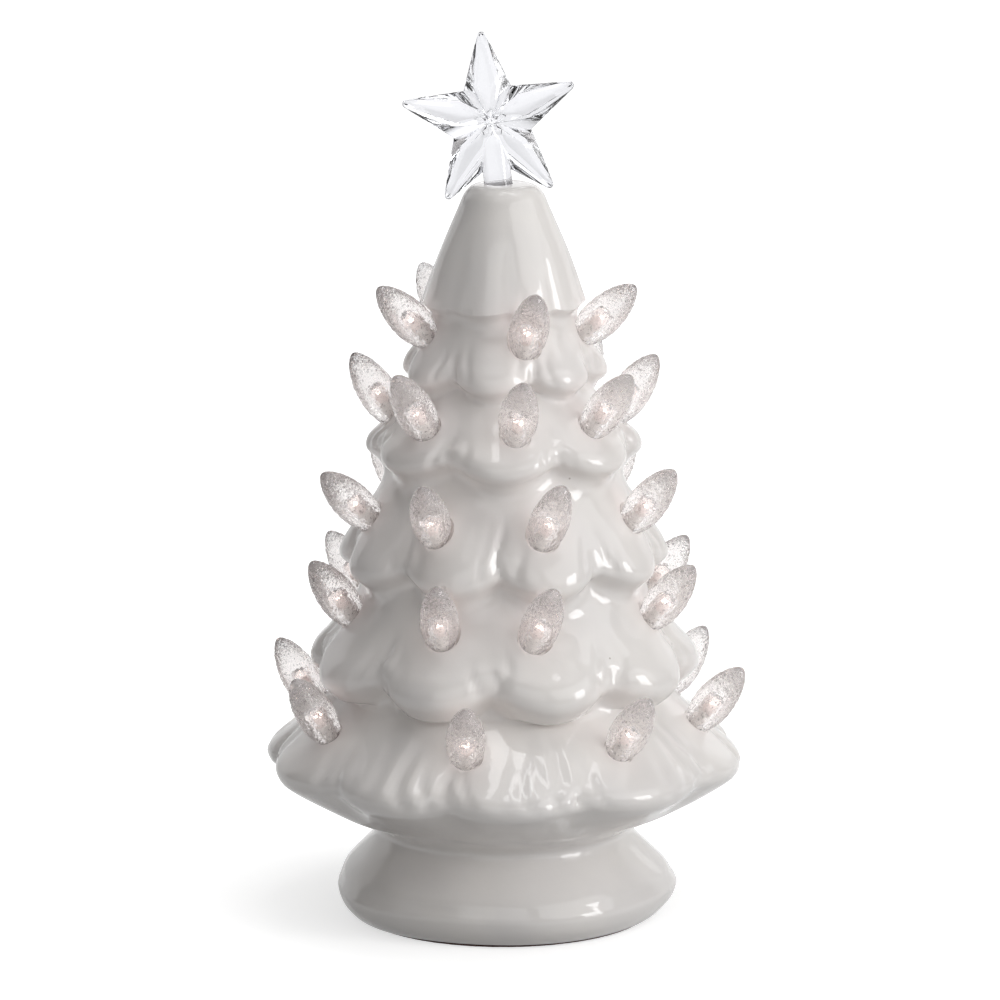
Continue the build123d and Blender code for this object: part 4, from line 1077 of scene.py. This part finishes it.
def white_world():
    """White surroundings: pure white to the camera, a room with a dimmer front and ceiling to reflections."""
    world = bpy.data.worlds.new("white_room")
    world.use_nodes = True
    tree = world.node_tree
    soft = tree.nodes["Background"]
    feed(tree, soft, {"Color": WHITE, "Strength": ROOM_LIGHT})
    where = add_node(tree, "ShaderNodeTexCoord")
    parts = add_node(tree, "ShaderNodeSeparateXYZ", {"Vector": where.outputs["Generated"]})
    path = add_node(tree, "ShaderNodeLightPath")
    camera = path.outputs["Is Camera Ray"]
    glossy = path.outputs["Is Glossy Ray"]
    wall_end = range_of(tree, glossy, 0, 1, CLEAR_WALL_END, GLOSSY_WALL_END)
    back = range_of(tree, parts.outputs["Y"], WALL_START, wall_end, FRONT_LEVEL, 1)
    above = range_of(tree, parts.outputs["Z"], CEILING_START, CEILING_END, 1, CEILING_LEVEL)
    room = math_of(tree, "MULTIPLY", back, above)
    strength = math_of(tree, "MAXIMUM", room, camera)
    seen = add_node(tree, "ShaderNodeBackground", {"Color": WHITE, "Strength": strength})
    clear = math_of(tree, "MAXIMUM", glossy, path.outputs["Is Transmission Ray"])
    share = math_of(tree, "MAXIMUM", camera, clear)
    mix = add_node(tree, "ShaderNodeMixShader", {0: share, 1: soft.outputs["Background"],
                                                 2: seen.outputs["Background"]})
    feed(tree, tree.nodes["World Output"], {"Surface": mix.outputs["Shader"]})
    bpy.context.scene.world = world


def floor_material():
    """Pale floor that keeps the shadow, lifted to white for the camera, reflections and clear pieces."""
    material, tree, bsdf = shader("pale_floor")
    path = add_node(tree, "ShaderNodeLightPath")
    clear = math_of(tree, "MAXIMUM", path.outputs["Is Glossy Ray"], path.outputs["Is Transmission Ray"])
    shown = math_of(tree, "MULTIPLY", clear, FLOOR_SHINE)
    which = math_of(tree, "MAXIMUM", path.outputs["Is Camera Ray"], shown)
    where = add_node(tree, "ShaderNodeTexCoord")
    away = add_node(tree, "ShaderNodeVectorMath", {0: where.outputs["Object"]}, operation="LENGTH")
    level = range_of(tree, away.outputs["Value"], FLOOR_LIFT_START, FLOOR_LIFT_END, FLOOR_LIFT, 1)
    feed(tree, bsdf, {
        "Base Color": mixed_colors(tree, path.outputs["Is Diffuse Ray"], FLOOR_COLOR, BOUNCE_COLOR),
        "Roughness": 0.9,
        "Specular IOR Level": 0.1,
        "Emission Color": WHITE,
        "Emission Strength": math_of(tree, "MULTIPLY", which, level),
    })
    return material


def add_stage():
    """Pale floor, white surroundings and soft studio lamps."""
    corners = FLOOR_HALF * np.array([(-1, -1, 0), (1, -1, 0), (1, 1, 0), (-1, 1, 0)])
    floor = finished_mesh("floor", corners, [[0, 1, 2, 3]])
    floor.data.materials.append(floor_material())
    white_world()
    for name, place, aim, size, power in LAMPS:
        add_lamp(name, place, aim, size, power)
    bpy.context.scene.view_settings.view_transform = "Standard"


CLOUDS = clouds_group()
GRAIN = grain_group()
GLOW = glow_group()
add_camera()
add_stage()
BULBS = find_bulbs()
casting = make_casting(BULBS)
casting.data.materials.append(glaze_material())
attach(casting, "tree")
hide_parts("tree_body")
# The lamps' light painted on the glaze as a glow
add_values(casting, "glow", lamp_spill(vertices_of(casting), BULBS))
make_bulbs(BULBS, bulb_material())
make_lamps(BULBS, lamp_material())
make_star(acrylic_material())
soft_ring("felt_ring", "foot_pad", felt_material(), trim=0.2, fuzz=0.06)
soft_ring("foam_seal", "case_seal", plastic_material(*FOAM), trim=0.0, fuzz=0.03)
FINISHES = {slot: plastic_material(*values) for slot, values in PLASTICS.items()}
finish_nodes({**FINISHES, "plated_steel": metal_material(*STEEL)})
